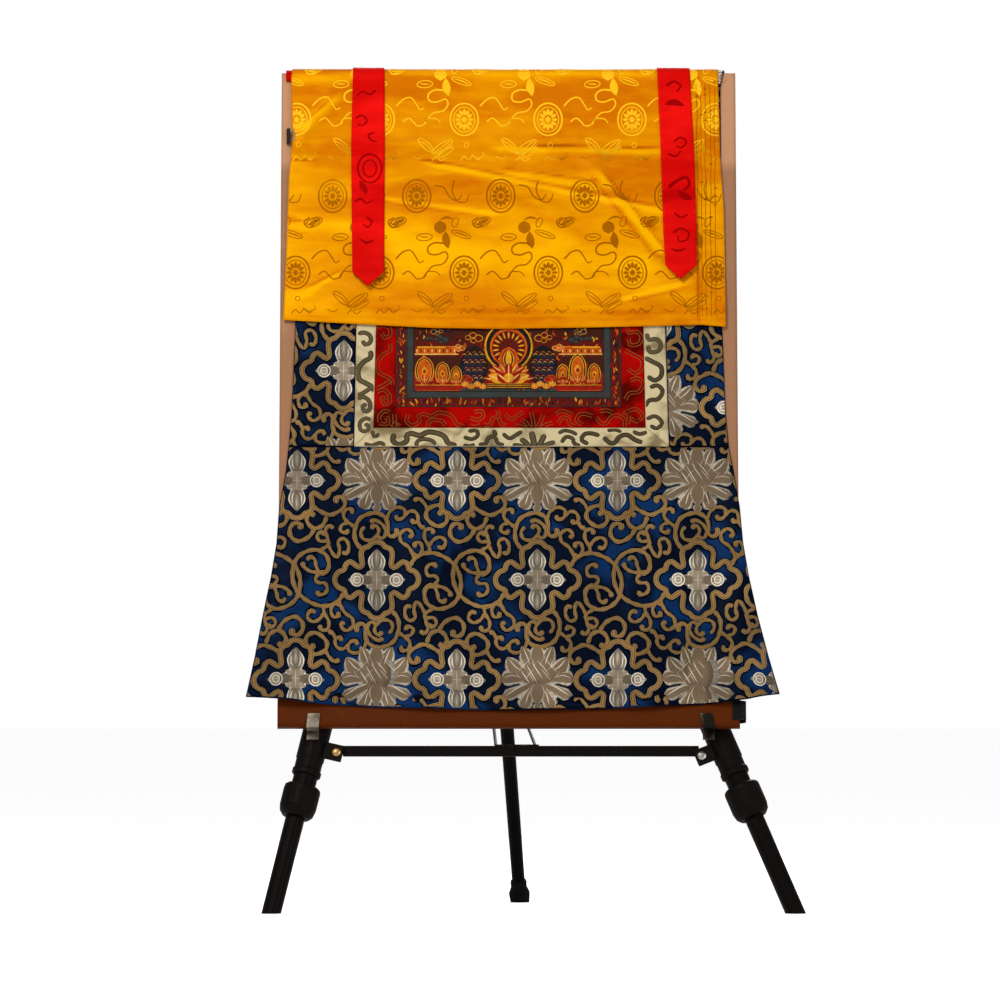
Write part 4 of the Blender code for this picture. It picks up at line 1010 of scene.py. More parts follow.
class BrocadePattern:
    """The woven repeat of the brocade: vines, cloud frames, crosses and lotuses, with a painted shadow under
    the gold.
    """

    def __init__(self) -> None:
        """Works out one repeat of each kind of thread, and of the painted shadow under the gold."""
        gold = self.vines() + self.frames()
        silver = self.crosses() + self.lotuses()
        self.gold = Relief.of(gold)
        # Painted shadow: a flat dark strip, 3 mm wider than each gold stroke, laid under it
        self.dark = Relief.of(
            [replace(stroke, width=stroke.width + 3.0, height=0.12, flat=True) for stroke in gold]
        )
        self.silver = Relief.of(silver)

    @staticmethod
    def vines() -> list[Stroke]:
        """Every vine and its twin, turned half round the middle of the pair of circles."""
        half = [Stroke(points, width, Outline.VINE, 0.45) for width, points in VINES]
        return half + [stroke.turned_half() for stroke in half]

    @staticmethod
    def crossings() -> tuple[Point, ...]:
        """The middles of the two crosses of a repeat."""
        return (0.0, BROCADE_PITCH[1] / 2 / MM), (BROCADE_PITCH[0] / 2 / MM, 0.0)

    def frames(self) -> list[Stroke]:
        """A cloud frame round each cross: a quarter, mirrored both ways."""
        right = FRAME_QUARTER
        lower = tuple((x, -y) for x, y in reversed(right))
        half = right + ((55.5, 0.0),) + lower
        ring = half + tuple((-x, y) for x, y in reversed(half[1:-1]))
        stroke = Stroke(ring, FRAME_WIDTH, height=0.55, closed=True)
        return [stroke.moved(*place) for place in self.crossings()]

    def crosses(self) -> list[Stroke]:
        """A silver cross in each frame, with four leafy arms."""
        arm = [Stroke(*part) for part in CROSS_PARTS]
        arm += [stroke.mirrored() for stroke in arm]
        arm += [stroke.flipped() for stroke in arm]
        arm += [
            Stroke(((0, -26), (0, 0), (0, 26)), 25.0, Outline.LEAF, 0.44, 0.12),
            Stroke(((0, -13), (0, 0), (0, 13)), 1.6, Outline.LEAF, 1.0, tone=0.6),
            Stroke(((-9, 0), (0, 0), (9, 0)), 1.4, Outline.LEAF, 1.0, tone=0.5),
        ]
        arm += [
            Stroke.disc(side * 26, 0, 8.6, 9.0, height=0.40, tone=0.2) for side in (-1, 1)
        ]
        arm += [Stroke.ring(*row, 0, 2.0, height=0.75, tone=1.0) for row in CROSS_RINGS]
        return [stroke.moved(*place) for place in self.crossings() for stroke in arm]

    @staticmethod
    def lotuses() -> list[Stroke]:
        """A lotus beside the upper cross, mirrored left to right, with bright lines on its petals."""
        both = [
            Stroke.disc(0, 10, 31, 26, height=0.12),
            Stroke(((0, 8), (0, -12), (0, -31)), 56.0, Outline.FLARE, 0.10),
        ]
        for points, width, height, outline in LOTUS_PETALS:
            petal = Stroke(points, width, outline, height)
            both += [petal, petal.mirrored()] if points[-1][0] else [petal]
        for place, (*points, width) in enumerate(LOTUS_LINES):
            line = Stroke(tuple(points), width, Outline.LEAF, 0.95, 0.75)
            both += [line, line.mirrored()] if place < 5 or place > 9 else [line]
        return [stroke.moved(BROCADE_PITCH[0] / 2 / MM, BROCADE_PITCH[1] / 2 / MM) for stroke in both]

    @staticmethod
    def lattice(start: Point, low: Point, high: Point, pitch: Point = BROCADE_PITCH) -> Array:
        """Places of a repeat's middle, in metres, that reach all of a box."""
        pitch = np.array(pitch)
        first = np.floor((np.array(low) - start) / pitch) - 1
        last = np.ceil((np.array(high) - start) / pitch) + 1
        steps = np.stack(np.meshgrid(np.arange(first[0], last[0] + 1), np.arange(first[1], last[1] + 1)), -1)
        return np.array(start) + steps.reshape(-1, 2) * pitch


# Side edges of the brocade: height on the face, left edge, right edge
BROCADE_SIDES = (
    (0.021, -0.3500, 0.3625),
    (0.045, -0.3455, 0.3570),
    (0.095, -0.3350, 0.3425),
    (0.148, -0.3255, 0.3290),
    (0.204, -0.3145, 0.3175),
    (0.250, -0.3075, 0.3105),
    (0.300, -0.3045, 0.3065),
    (0.350, -0.2960, 0.2990),
    (0.386, -0.2925, 0.2925),
    (0.430, -0.2890, 0.2888),
    (0.549, -0.2848, 0.2848),
    (0.892, -0.2835, 0.2845),
    (0.925, -0.2835, 0.2906),
)

# The lower edge of the brocade, where its hem is rolled: place across, height on the face
BROCADE_HEM = (
    (-0.3461, 0.0417),
    (-0.3090, 0.0359),
    (-0.2601, 0.0308),
    (-0.1723, 0.0257),
    (-0.0115, 0.0212),
    (0.1104, 0.0227),
    (0.1836, 0.0257),
    (0.2759, 0.0308),
    (0.3155, 0.0345),
    (0.3568, 0.0461),
)
SEAM_S = 0.3855
SIDE_TOP = 0.892
HALF_GAP = 0.00025

# Painting and borders: height of the lower and upper edge, and the four corners
FRAMES = {
    # s low, s high, left low, right low, left high, right high
    "painting": (0.4410, 0.8380, -0.1500, 0.1500, -0.1500, 0.1505),
    "red": (0.4120, 0.8650, -0.1795, 0.1820, -0.1705, 0.1740),
    "cream": (0.3855, 0.8920, -0.2055, 0.2130, -0.1985, 0.2000),
}


@dataclass
class Brocade:
    """The blue brocade: the flared skirt with its rolled hem, two side panels and the top panel."""

    # Painted sheen and shade: the ground goes from near-black to blue in soft patches
    ground: SilkFinish = SilkFinish(
        "brocade_ground", (0.0008, 0.0008, 0.0022), (0.0024, 0.021, 0.084), 10.0, 0.47, 0.62,
        pitch=0.0008, rough=0.42, specular=0.09, gloss=(0.2, 0.4, 1.0)
    )
    # Painted shadow: the near-black finish of the strips under the gold strokes
    outline: SilkFinish = SilkFinish(
        "brocade_outline", (0.0010, 0.0011, 0.002), (0.0015, 0.003, 0.009), 13.0, 0.44, 0.66,
        pitch=0.0008, rough=0.5, specular=0.02
    )
    gold: ThreadFinish = ThreadFinish(
        "gold_thread", (0.34, 0.175, 0.036), (0.37, 0.27, 0.155), (0.78, 0.66, 0.44),
        metal=0.1, rough=0.5, pitch=0.0012, groove=0.9
    )
    silver: ThreadFinish = ThreadFinish(
        "silver_thread", (0.195, 0.134, 0.078), (0.25, 0.185, 0.115), (1.0, 0.92, 0.76),
        metal=0.12, rough=0.42, pitch=0.0012, rim=0.55, groove=0.0
    )
    hem_roll: float = 0.0009
    hem_width: float = 0.007
    top_tail: float = 0.095
    edge_inset: float = 0.0010
    skirt_start: Point = (-0.0684, 0.2000)
    left_start: Point = (-0.3260, 0.4915)
    right_start: Point = (0.0995, 0.3020)
    pattern: BrocadePattern = field(default_factory=BrocadePattern)

    def skirt_panel(self) -> Panel:
        """The skirt's cut, from its hem to its seam."""
        sides = np.array(BROCADE_SIDES)
        seam = SEAM_S - HALF_GAP
        return Panel.between(sides[:, (0, 1)], sides[:, (0, 2)], BROCADE_HEM, ((-1.0, seam), (1.0, seam)))

    def side_panel(self, side: int) -> Panel:
        """The left (-1) or right (1) side panel's cut."""
        low, high, left_low, right_low, left_high, right_high = FRAMES["cream"]
        sides = np.array(BROCADE_SIDES)
        inner_low, inner_high = (left_low, left_high) if side < 0 else (right_low, right_high)
        inner = ((low, inner_low + side * HALF_GAP), (high, inner_high + side * HALF_GAP))
        outer = sides[:, (0, 1 if side < 0 else 2)]
        edges = (outer, inner) if side < 0 else (inner, outer)
        low, high = low + HALF_GAP, high - HALF_GAP
        return Panel.between(*edges, ((-1.0, low), (1.0, low)), ((-1.0, high), (1.0, high)))

    def top_panel(self) -> Panel:
        """The top panel's cut, over the top edge and down the back."""
        sides = np.array(BROCADE_SIDES)
        low, high = SIDE_TOP + HALF_GAP, BOARD.back_start + self.top_tail
        return Panel.between(
            sides[:, (0, 1)], sides[:, (0, 2)], ((-1.0, low), (1.0, low)), ((-1.0, high), (1.0, high))
        )

    def hem(self, u: Array, v: Array) -> Array:
        """Extra lift of the rolled hem: half a circle over the hem's width."""
        off = (v - along(BROCADE_HEM, u, 1)) / self.hem_width
        return self.hem_roll * np.sqrt(np.maximum(1.0 - (2.0 * np.clip(off, 0.0, 1.0) - 1.0) ** 2, 0.0))

    def skirt_lift(self, u: Array, v: Array) -> Array:
        """Lift of the skirt's back, with its hem."""
        return DRAPE.skirt(u, v) + self.hem(u, v)

    def skirt_top(self, u: Array, v: Array) -> Array:
        """Lift that the skirt's threads follow: level with the hem's top, then down to the cloth."""
        share = 2.0 - (v - along(BROCADE_HEM, u, 1)) / (0.8 * self.hem_width)
        return DRAPE.skirt(u, v) + self.hem_roll * smooth_step(share)

    def build(self) -> None:
        """Makes the four panels, each with its gold and silver threads."""
        finishes = [finish.build() for finish in (self.ground, self.outline, self.gold, self.silver)]
        rows = np.unique(np.concatenate([np.linspace(0, 0.026, 10), np.linspace(0.026, 1, 104)]))
        skirt = (np.linspace(0, 1, 190), rows)
        side = (np.linspace(0, 1, 26), np.linspace(0, 1, 130))
        over = (np.linspace(0, 1, 140), np.linspace(0, 1, 60))
        left, right, base = self.side_panel(-1), self.side_panel(1), DRAPE.base
        panels = (
            ("brocade_bottom", self.skirt_panel(), self.skirt_lift, skirt, self.skirt_start, (0.712, 0.366)),
            ("brocade_left", left, base, side, self.left_start, (0.087, 0.506)),
            ("brocade_right", right, base, side, self.right_start, (0.087, 0.506)),
            ("brocade_top", self.top_panel(), base, over, self.left_start, (0.575, 0.146)),
        )
        for panel in panels:
            self.build_panel(*panel, finishes)

    def build_panel(
        self, name: str, panel: Panel, lift: Lift, size: tuple[Array, Array], start: Point, flat: Point,
        finishes: list
    ) -> None:
        thick = DRAPE.brocade_thick
        cloth, area = cloth_object(name + "_cloth", panel.shape, lift, size, thick, finishes[0])
        dress(cloth, (name,))
        grid_u, grid_v = panel.shape(*np.meshgrid(size[0][::6], size[1][::6]))
        low, high = (grid_u.min(), grid_v.min()), (grid_u.max(), grid_v.max())
        places = BrocadePattern.lattice(start, low, high)
        inside = panel.shrunk(self.edge_inset)
        below = self.skirt_top if name == "brocade_bottom" else lift

        def above(u: Array, v: Array) -> Array:
            return below(u, v) + thick

        kinds = (("shade", self.pattern.dark), ("gold", self.pattern.gold), ("silver", self.pattern.silver))
        for (label, relief), finish in zip(kinds, finishes[1:]):
            cut = relief.tiled(places).clipped(inside)
            piece = relief_object(f"{name}_{label}", cut, above, finish)
            dress(piece)


def srgb(red: float, green: float, blue: float) -> Colour:
    """A screen colour from 0 to 255 as light: (value / 255) to the power 2.2."""
    return tuple((value / 255) ** 2.2 for value in (red, green, blue))


# Sides of the veil: path place, left edge, right edge
VEIL_SIDES = (
    (0.549, -0.3010, 0.2898),
    (0.647, -0.2974, 0.2890),
    (0.718, -0.2955, 0.2882),
    (0.767, -0.2941, 0.2850),
    (0.803, -0.2905, 0.2833),
    (0.817, -0.2890, 0.2832),
    (0.845, -0.2912, 0.2830),
    (0.902, -0.2922, 0.2814),
    (0.930, -0.2890, 0.2814),
    (1.030, -0.2890, 0.2814),
)

# The veil's hem: place across, height on the face
VEIL_HEM = (
    (-0.3008, 0.5616),
    (-0.2075, 0.5560),
    (-0.1035, 0.5504),
    (-0.0115, 0.5490),
    (0.1151, 0.5511),
    (0.2578, 0.5546),
    (0.2898, 0.5518),
)

# Ribbons: path place, left edge, right edge
RIBBONS = {
    "ribbon_left": (
        (0.627, -0.2087, -0.1668),
        (0.700, -0.2098, -0.1662),
        (0.810, -0.2112, -0.1659),
        (0.917, -0.2091, -0.1668),
        (1.010, -0.2091, -0.1668),
    ),
    "ribbon_right": (
        (0.637, 0.2090, 0.2511),
        (0.688, 0.2068, 0.2513),
        (0.796, 0.2040, 0.2489),
        (0.920, 0.1994, 0.2431),
        (1.010, 0.1994, 0.2431),
    ),
}


# Cloud scrolls on the cream strips, in millimetres on the board: width and points
CREAM_SCROLLS = (
    (6.5, ((-201, 543), (-193, 545), (-185, 541), (-184, 532), (-191, 528), (-195, 534))),
    (7.5, (
        (-184, 520), (-184, 510), (-193, 504), (-200, 494), (-199, 480), (-190, 474), (-182, 469), (-180, 462)
    )),
    (6.5, ((-182, 469), (-191, 462), (-201, 457))),
    (6.5, ((-201, 452), (-193, 455), (-185, 448), (-185, 437), (-192, 435), (-194, 443), (-188, 444))),
    (6.0, ((-183, 423), (-191, 425), (-198, 418), (-196, 408), (-187, 408), (-187, 416), (-192, 415))),
    (6.0, ((-192, 390), (-182, 387), (-171, 391), (-164, 387))),
    (5.5, ((-182, 408), (-178, 399), (-172, 404))),
    (8.0, (
        (-152, 404), (-154, 394), (-145, 388), (-135, 394), (-136, 401), (-129, 404), (-118, 401),
        (-107, 406), (-94, 404), (-85, 399), (-80, 390), (-69, 387)
    )),
    (6.0, ((-122, 384), (-122, 392), (-114, 396), (-102, 394), (-97, 388))),
    (6.0, ((-60, 399), (-49, 396), (-41, 401), (-43, 408), (-54, 407))),
    (6.0, ((-60, 388), (-52, 386), (-45, 389))),
    (6.5, ((-40, 389), (-31, 389), (-27, 398), (-18, 401), (-20, 409))),
    (6.0, ((-18, 399), (-14, 390), (-6, 388))),
    (6.0, ((-8, 404), (1, 397), (10, 402), (18, 407))),
    (9.0, ((34, 382), (33, 394), (30, 407))),
    (8.0, ((38, 383), (44, 394), (48, 403))),
    (8.0, ((29, 383), (22, 392), (15, 396))),
    (7.0, ((42, 384), (52, 389), (62, 392))),
    (6.5, ((25, 384), (14, 387), (5, 388))),
    (6.0, ((70, 391), (76, 399), (85, 397), (87, 390), (95, 387))),
    (5.5, ((66, 404), (74, 408), (84, 406), (91, 402))),
    (6.5, ((106, 389), (97, 395), (101, 403), (110, 404), (121, 401))),
    (7.0, ((126, 399), (134, 391), (141, 391), (147, 399), (157, 402), (168, 395), (178, 391))),
    (5.5, ((131, 408), (142, 409), (150, 406))),
    (6.0, ((165, 407), (174, 403), (184, 406))),
    (6.5, ((184, 544), (187, 535), (197, 536), (203, 528), (199, 519), (188, 518), (186, 527))),
    (7.0, ((181, 510), (192, 504), (203, 497), (203, 484), (194, 478), (185, 484))),
    (6.5, ((181, 441), (187, 450), (199, 452), (205, 463), (198, 471), (188, 468))),
    (6.0, ((183, 424), (195, 428), (204, 419), (197, 411), (188, 415))),
)
SCROLL_RISE = 0.126


@dataclass
class Borders:
    """The cream and the red silk strips round the painting, mitred at their corners."""

    scroll_finishes: dict[str, ThreadFinish] = field(
        default_factory=lambda: {
            "cream": ThreadFinish(
                "cream_scroll", srgb(94, 82, 58), srgb(46, 40, 27), srgb(160, 150, 120), 0.0, 0.55, groove=0.3
            ),
            "red": ThreadFinish(
                "red_scroll", srgb(134, 84, 36), srgb(140, 90, 40), srgb(160, 110, 60), 0.0, 0.5, groove=0.0
            ),
        }
    )

    # Painted sheen and shade: each silk goes between a darker and a lighter colour in soft patches
    finishes: dict[str, SilkFinish] = field(
        default_factory=lambda: {
            "cream": SilkFinish("cream_silk", srgb(120, 104, 72), srgb(198, 182, 142), 22.0, 0.30, 0.52),
            "red": SilkFinish(
                "red_silk", srgb(66, 2, 2), srgb(160, 8, 5), 22.0, 0.36, 0.60, gloss=(1.0, 0.1, 0.05)
            ),
        }
    )
    inner: dict[str, str] = field(default_factory=lambda: {"cream": "red", "red": "painting"})
    edge_inset: float = 0.0008
    scroll_height: float = 0.3
    pair_width: float = 1.3
    pair_gap: float = 4.2
    repeat_above: float = 436.0

    @staticmethod
    def inwards(x: float, y: float) -> Point:
        """A place on the cream strips moved to the like place on the red ones."""
        if y < 411 and abs(x) < 178:
            return 0.90 * x + 3.0, y + 27.0
        return x - math.copysign(26.0, x), y + 10.0

    def panels(self, colour: str) -> dict[str, Panel]:
        """The four strips of one border: straight cuts between its outer and inner corners."""
        low, high, bl, br, tl, tr = FRAMES[colour]
        in_low, in_high, ibl, ibr, itl, itr = FRAMES[self.inner[colour]]
        cuts = {
            "bottom": (
                ((low, bl), (in_low, ibl)), ((low, br), (in_low, ibr)), ((bl, low), (br, low)),
                ((ibl, in_low), (ibr, in_low))
            ),
            "top": (
                ((in_high, itl), (high, tl)), ((in_high, itr), (high, tr)), ((itl, in_high), (itr, in_high)),
                ((tl, high), (tr, high))
            ),
            "left": (
                ((low, bl), (high, tl)), ((in_low, ibl), (in_high, itl)), ((bl, low), (ibl, in_low)),
                ((tl, high), (itl, in_high))
            ),
            "right": (
                ((in_low, ibr), (in_high, itr)), ((low, br), (high, tr)), ((ibr, in_low), (br, low)),
                ((itr, in_high), (tr, high))
            ),
        }
        return {side: Panel.between(*cut).shrunk(HALF_GAP) for side, cut in cuts.items()}

    def build(self) -> None:
        """Makes the eight strips."""
        for colour, finish in self.finishes.items():
            material = finish.build()
            scroll_material = self.scroll_finishes[colour].build()
            lines = [Stroke(points, width, height=self.scroll_height) for width, points in CREAM_SCROLLS]
            if colour == "red":
                inner = [replace(stroke.mapped(self.inwards), width=self.pair_width) for stroke in lines]
                lines = [line for stroke in inner for line in stroke.pair(self.pair_gap)]
            higher = Relief.of([line for line in lines if line.points[0][1] > self.repeat_above])
            upper = higher.tiled(np.array([[0.0, SCROLL_RISE * step] for step in (1, 2, 3)]))
            chart = Relief.merged([Relief.of(lines), upper])
            for side, panel in self.panels(colour).items():
                name = f"{colour}_{side}"
                upright = side in ("left", "right")
                size = (np.linspace(0, 1, 14), np.linspace(0, 1, 150))
                cloth, area = cloth_object(
                    name + "_cloth", panel.shape, DRAPE.base, size if upright else size[::-1],
                    DRAPE.strip_thick, material
                )
                dress(cloth, (name,))
                cut = chart.clipped(panel.shrunk(self.edge_inset))
                if len(cut.quads):
                    scroll = relief_object(
                        name + "_scroll", cut, lambda u, v: DRAPE.base(u, v) + DRAPE.strip_thick,
                        scroll_material
                    )
                    dress(scroll)
                u, v = panel.shape(*np.meshgrid([0.0, 1.0], [0.0, 1.0]))


class Paint(Enum):
    """The painting's colours."""

    RED = srgb(144, 24, 8)
    DEEP_RED = srgb(88, 18, 8)
    ORANGE = srgb(188, 82, 10)
    GOLD = srgb(214, 146, 30)
    PALE = srgb(224, 178, 88)
    SLATE = srgb(50, 60, 58)
    TEAL = srgb(14, 22, 22)
    BLUE = srgb(20, 28, 46)
    BROWN = srgb(62, 26, 10)


@dataclass
class PaintBox:
    """Paints generic motifs as flat strokes, each one laid over those before it."""

    strokes: list[Stroke] = field(default_factory=list)
    layer: float = 0.05
    layer_step: float = 0.012

    def lay(self, stroke: Stroke, colour: Paint, raised: float = 1.0) -> None:
        """Adds a stroke in a colour, a little above the last ones."""
        self.strokes.append(replace(stroke, height=self.layer, tint=colour.value, flat=True))
        self.layer += self.layer_step * raised

    def rest_at(self, height: float) -> None:
        """Starts the next strokes at a height."""
        self.layer = height

    def bar(self, x0: float, y0: float, x1: float, y1: float, width: float, colour: Paint) -> None:
        """A straight bar."""
        self.lay(Stroke(((x0, y0), ((x0 + x1) / 2, (y0 + y1) / 2), (x1, y1)), width, Outline.BAR), colour)

    def upright(
        self, x: float, heights: Sequence[float], width: float, outline: Outline, colour: Paint,
        raised: float = 1.0
    ) -> None:
        """An upright shape through three heights."""
        self.lay(Stroke(tuple((x, height) for height in heights), width, outline), colour, raised)

    def lotus(self, x: float, y: float, half: float, rise: float, low: Paint, high: Paint) -> None:
        """A fan of seven petals, each with a pale line."""
        for step in (-3, 3, -2, 2, -1, 1, 0):
            angle = step * 0.46
            tip = (x + half * math.sin(angle), y + rise * math.cos(angle * 0.8))
            middle = ((x + tip[0]) / 2 + step * 0.4, (y + tip[1]) / 2)
            petal = Stroke(((x, y), middle, tip), half * 0.42, Outline.PETAL)
            self.lay(petal, low if step % 2 else high)
            self.lay(replace(petal, width=half * 0.07), Paint.PALE, 0.0)

    def jewel(self, x: float, y: float, rise: float) -> None:
        """A flaming jewel."""
        self.upright(x, (y, y + rise * 0.5, y + rise), rise * 0.62, Outline.LEAF, Paint.ORANGE)
        flame = (y + rise * 0.1, y + rise * 0.4, y + rise * 0.7)
        self.upright(x, flame, rise * 0.4, Outline.LEAF, Paint.GOLD)
        self.lay(Stroke.disc(x, y + rise * 0.34, rise * 0.11, rise * 0.15), Paint.RED)

    def niche(self, x: float, y: float, half: float, rise: float, inside: Paint) -> None:
        """An arched niche with a jewel on a lotus."""
        rims = ((0, 0, Paint.GOLD), (1, 2.2, inside), (3, 6, Paint.GOLD), (4, 7.6, Paint.ORANGE))
        for inset, less, colour in rims:
            arch = (y + inset, y + rise * 0.5, y + rise - inset)
            self.upright(x, arch, 2 * half - less, Outline.DISC, colour)
        self.jewel(x, y + rise * 0.3, rise * 0.52)
        self.lotus(x, y + rise * 0.08, half * 0.95, rise * 0.26, Paint.RED, Paint.ORANGE)

    def cloud(self, x: float, y: float, size: float, side: float, colour: Paint, rim: Paint) -> None:
        """A curled cloud with a trailing tail."""
        for dx, dy, radius in ((0.0, 0.0, 1.0), (0.9, 0.5, 0.8), (1.7, 0.1, 0.65), (0.8, -0.4, 0.7)):
            middle = (x + side * dx * size, y + dy * size)
            self.lay(Stroke.disc(*middle, radius * size * 0.72, radius * size * 0.62), rim)
            self.lay(Stroke.disc(*middle, radius * size * 0.60, radius * size * 0.50), colour)
        tail = (
            (x + side * 2.0 * size, y), (x + side * 3.0 * size, y + 0.3 * size),
            (x + side * 4.0 * size, y - 0.1 * size)
        )
        self.lay(Stroke(tail, size * 0.5, Outline.LEAF), colour)


@dataclass
class Painting:
    """The varnished painting in the middle of the borders, with a general design of its own."""

    seed: int = 11
    base: float = 441.0
    flat: Point = (0.3005, 0.397)
    edge_inset: float = 0.0005

    def panel(self) -> Panel:
        """Its cut."""
        low, high, bl, br, tl, tr = FRAMES["painting"]
        cut = Panel.between(
            ((low, bl), (high, tl)), ((low, br), (high, tr)), ((-1.0, low), (1.0, low)),
            ((-1.0, high), (1.0, high))
        )
        return cut.shrunk(HALF_GAP)

    def design(self) -> list[Stroke]:
        """The design's strokes, in millimetres from the middle of the painting's lower edge."""
        box = PaintBox()
        for y in range(26, 378, 22):
            rows = (Paint.RED, Paint.DEEP_RED, Paint.BROWN, Paint.DEEP_RED, Paint.BROWN)
            box.bar(-126, y + 11, 126, y + 11, 22.4, rows[(y // 22) % 5 if y > 40 else 0])
        box.rest_at(0.20)
        for side in (-1, 1):
            box.bar(side * 131, 13, side * 131, 390, 8, Paint.SLATE)
            box.bar(side * 135.5, 10, side * 135.5, 390, 0.8, Paint.TEAL)
            box.bar(side * 126.6, 22, side * 126.6, 390, 0.8, Paint.TEAL)
        box.rest_at(0.14)
        box.bar(-150, 6.5, 150, 6.5, 11, Paint.DEEP_RED)
        for side in (-1, 1):
            box.bar(side * 142.5, 13, side * 142.5, 392, 12, Paint.DEEP_RED)
        box.rest_at(0.24)
        box.bar(-135, 17, 135, 17, 8, Paint.SLATE)
        box.bar(-136, 12.6, 136, 12.6, 0.8, Paint.TEAL)
        box.bar(-127, 21.4, 127, 21.4, 0.8, Paint.TEAL)
        self.scatter(box, 0.30)
        for row in range(3):
            self.scene(box, 22.0 + 118.0 * row)
        return box.strokes

    def scene(self, box: PaintBox, y: float) -> None:
        """One storey: a wide lotus under a halo, clouds, pavilions and niches beside it."""
        box.rest_at(0.26)
        for side in (-1, 1):
            box.lay(Stroke.disc(side * 46, y + 34, 19, 30), Paint.TEAL)
            box.lay(Stroke.disc(side * 48, y + 30, 15, 24), Paint.BLUE)
            for step in range(44):
                x, rise = side * (33 + 2.6 * (step % 11)), y + 14 + 11 * (step // 11) + 3 * (step % 3)
                wave = Stroke(((x - 3, rise), (x, rise + 2.2), (x + 3, rise)), 1.0, Outline.LEAF)
                box.lay(wave, (Paint.SLATE, Paint.GOLD, Paint.ORANGE)[step % 3], 0.1)
            box.cloud(side * 40, y + 74, 8.5, side, Paint.DEEP_RED, Paint.GOLD)
            box.cloud(side * 52, y + 16, 7.0, side, Paint.RED, Paint.ORANGE)
            box.cloud(side * 62, y + 60, 6.0, side, Paint.ORANGE, Paint.PALE)
            for step in range(4):
                box.lotus(side * (34 + 8 * step), y + 3 + 3 * (step % 2), 5.5, 8.5, Paint.ORANGE, Paint.GOLD)
        box.lay(Stroke.disc(0, y + 62, 33, 34), Paint.GOLD)
        box.lay(Stroke.disc(0, y + 62, 31, 32), Paint.TEAL)
        box.lay(Stroke.disc(0, y + 61, 26, 27), Paint.ORANGE)
        box.lay(Stroke.disc(0, y + 60, 23, 24), Paint.DEEP_RED)
        for step in range(18):
            angle = step * math.pi / 9
            inner = (13 * math.sin(angle), y + 60 + 13 * math.cos(angle))
            outer = (22 * math.sin(angle), y + 60 + 23 * math.cos(angle))
            middle = ((inner[0] + outer[0]) / 2, (inner[1] + outer[1]) / 2)
            box.lay(Stroke((inner, middle, outer), 2.6, Outline.LEAF), Paint.GOLD, 0.2)
        box.lay(Stroke.disc(0, y + 44, 13, 17), Paint.ORANGE)
        box.lay(Stroke.disc(0, y + 46, 9.5, 13), Paint.RED)
        for half, colour in ((8, Paint.GOLD), (6.4, Paint.TEAL), (4.2, Paint.GOLD)):
            box.lay(Stroke(((0, y + 30), (0, y + 42), (0, y + 58)), 2 * half, Outline.LEAF), colour)
        box.lotus(0, y + 22, 27, 17, Paint.ORANGE, Paint.RED)
        box.lotus(0, y + 12, 34, 13, Paint.RED, Paint.GOLD)
        box.bar(-30, y + 7, 30, y + 7, 7, Paint.BROWN)
        for line in (4.4, 6.9, 9.4):
            box.bar(-29, y + line, 29, y + line, 0.8, Paint.GOLD)
        self.side_scene(box, y, -1, ((-112, 13, 40), (-88, 10, 33), (-70, 8, 27)))
        self.side_scene(box, y, 1, ((72, 9, 30), (92, 12, 44), (114, 9, 31)))

    def side_scene(
        self, box: PaintBox, y: float, side: int, niches: Sequence[tuple[float, float, float]]
    ) -> None:
        """A pavilion roof with niches under it."""
        box.rest_at(0.30)
        box.bar(side * 64, y + 4, side * 124, y + 4, 8, Paint.RED)
        box.bar(side * 64, y + 8.4, side * 124, y + 8.4, 0.9, Paint.GOLD)
        box.bar(side * 66, y + 1.0, side * 122, y + 1.0, 0.7, Paint.ORANGE)
        box.bar(side * 70, y + 56, side * 124, y + 56, 8, Paint.ORANGE)
        box.bar(side * 67, y + 51.6, side * 125, y + 51.6, 1.6, Paint.PALE)
        box.bar(side * 74, y + 61.5, side * 122, y + 61.5, 2.4, Paint.GOLD)
        for step in range(11):
            x = side * (72 + 5 * step)
            colour = Paint.DEEP_RED if step % 2 else Paint.PALE
            box.upright(x, (y + 53.5, y + 56, y + 59), 2.0, Outline.LEAF, colour, 0.1)
        box.cloud(side * 84, y + 72, 7.5, side, Paint.SLATE, Paint.TEAL)
        box.cloud(side * 100, y + 83, 6.0, -side, Paint.BLUE, Paint.GOLD)
        for place, (x, half, rise) in enumerate(niches):
            box.niche(x, y + 8, half, rise, (Paint.DEEP_RED, Paint.TEAL, Paint.BROWN)[place])

    def scatter(self, box: PaintBox, height: float) -> None:
        """Small random leaves and dots on the outer strip and over the ground."""
        draw = np.random.default_rng(self.seed)
        colours = (Paint.RED, Paint.ORANGE, Paint.GOLD, Paint.TEAL, Paint.DEEP_RED, Paint.BLUE, Paint.ORANGE)
        along_foot = [(x, 6.5) for x in np.arange(-145, 146, 2.2)]
        up_sides = [(side * 142.5, y) for side in (-1, 1) for y in np.arange(4, 394, 2.6)]
        ground = [(draw.uniform(-122, 122), draw.uniform(26, 376)) for _ in range(900)]
        for place, (x, y) in enumerate(along_foot + up_sides + ground):
            box.rest_at(height if place < len(along_foot) + len(up_sides) else 0.22)
            dx, dy = draw.normal(0, (2.0, 2.2))
            bend = draw.normal(0, 1.6, 2)
            middle = (x + dx, y + dy)
            long = draw.uniform(1.6, 3.8) * (1.3 if place < len(along_foot) + len(up_sides) else 1.0)
            start = (middle[0] - bend[0], middle[1] - long)
            points = (start, middle, (middle[0] + bend[1], middle[1] + long))
            wide = draw.uniform(0.9, 3.0)
            box.lay(Stroke(points, wide, Outline.LEAF), colours[draw.integers(len(colours))], 0.0)

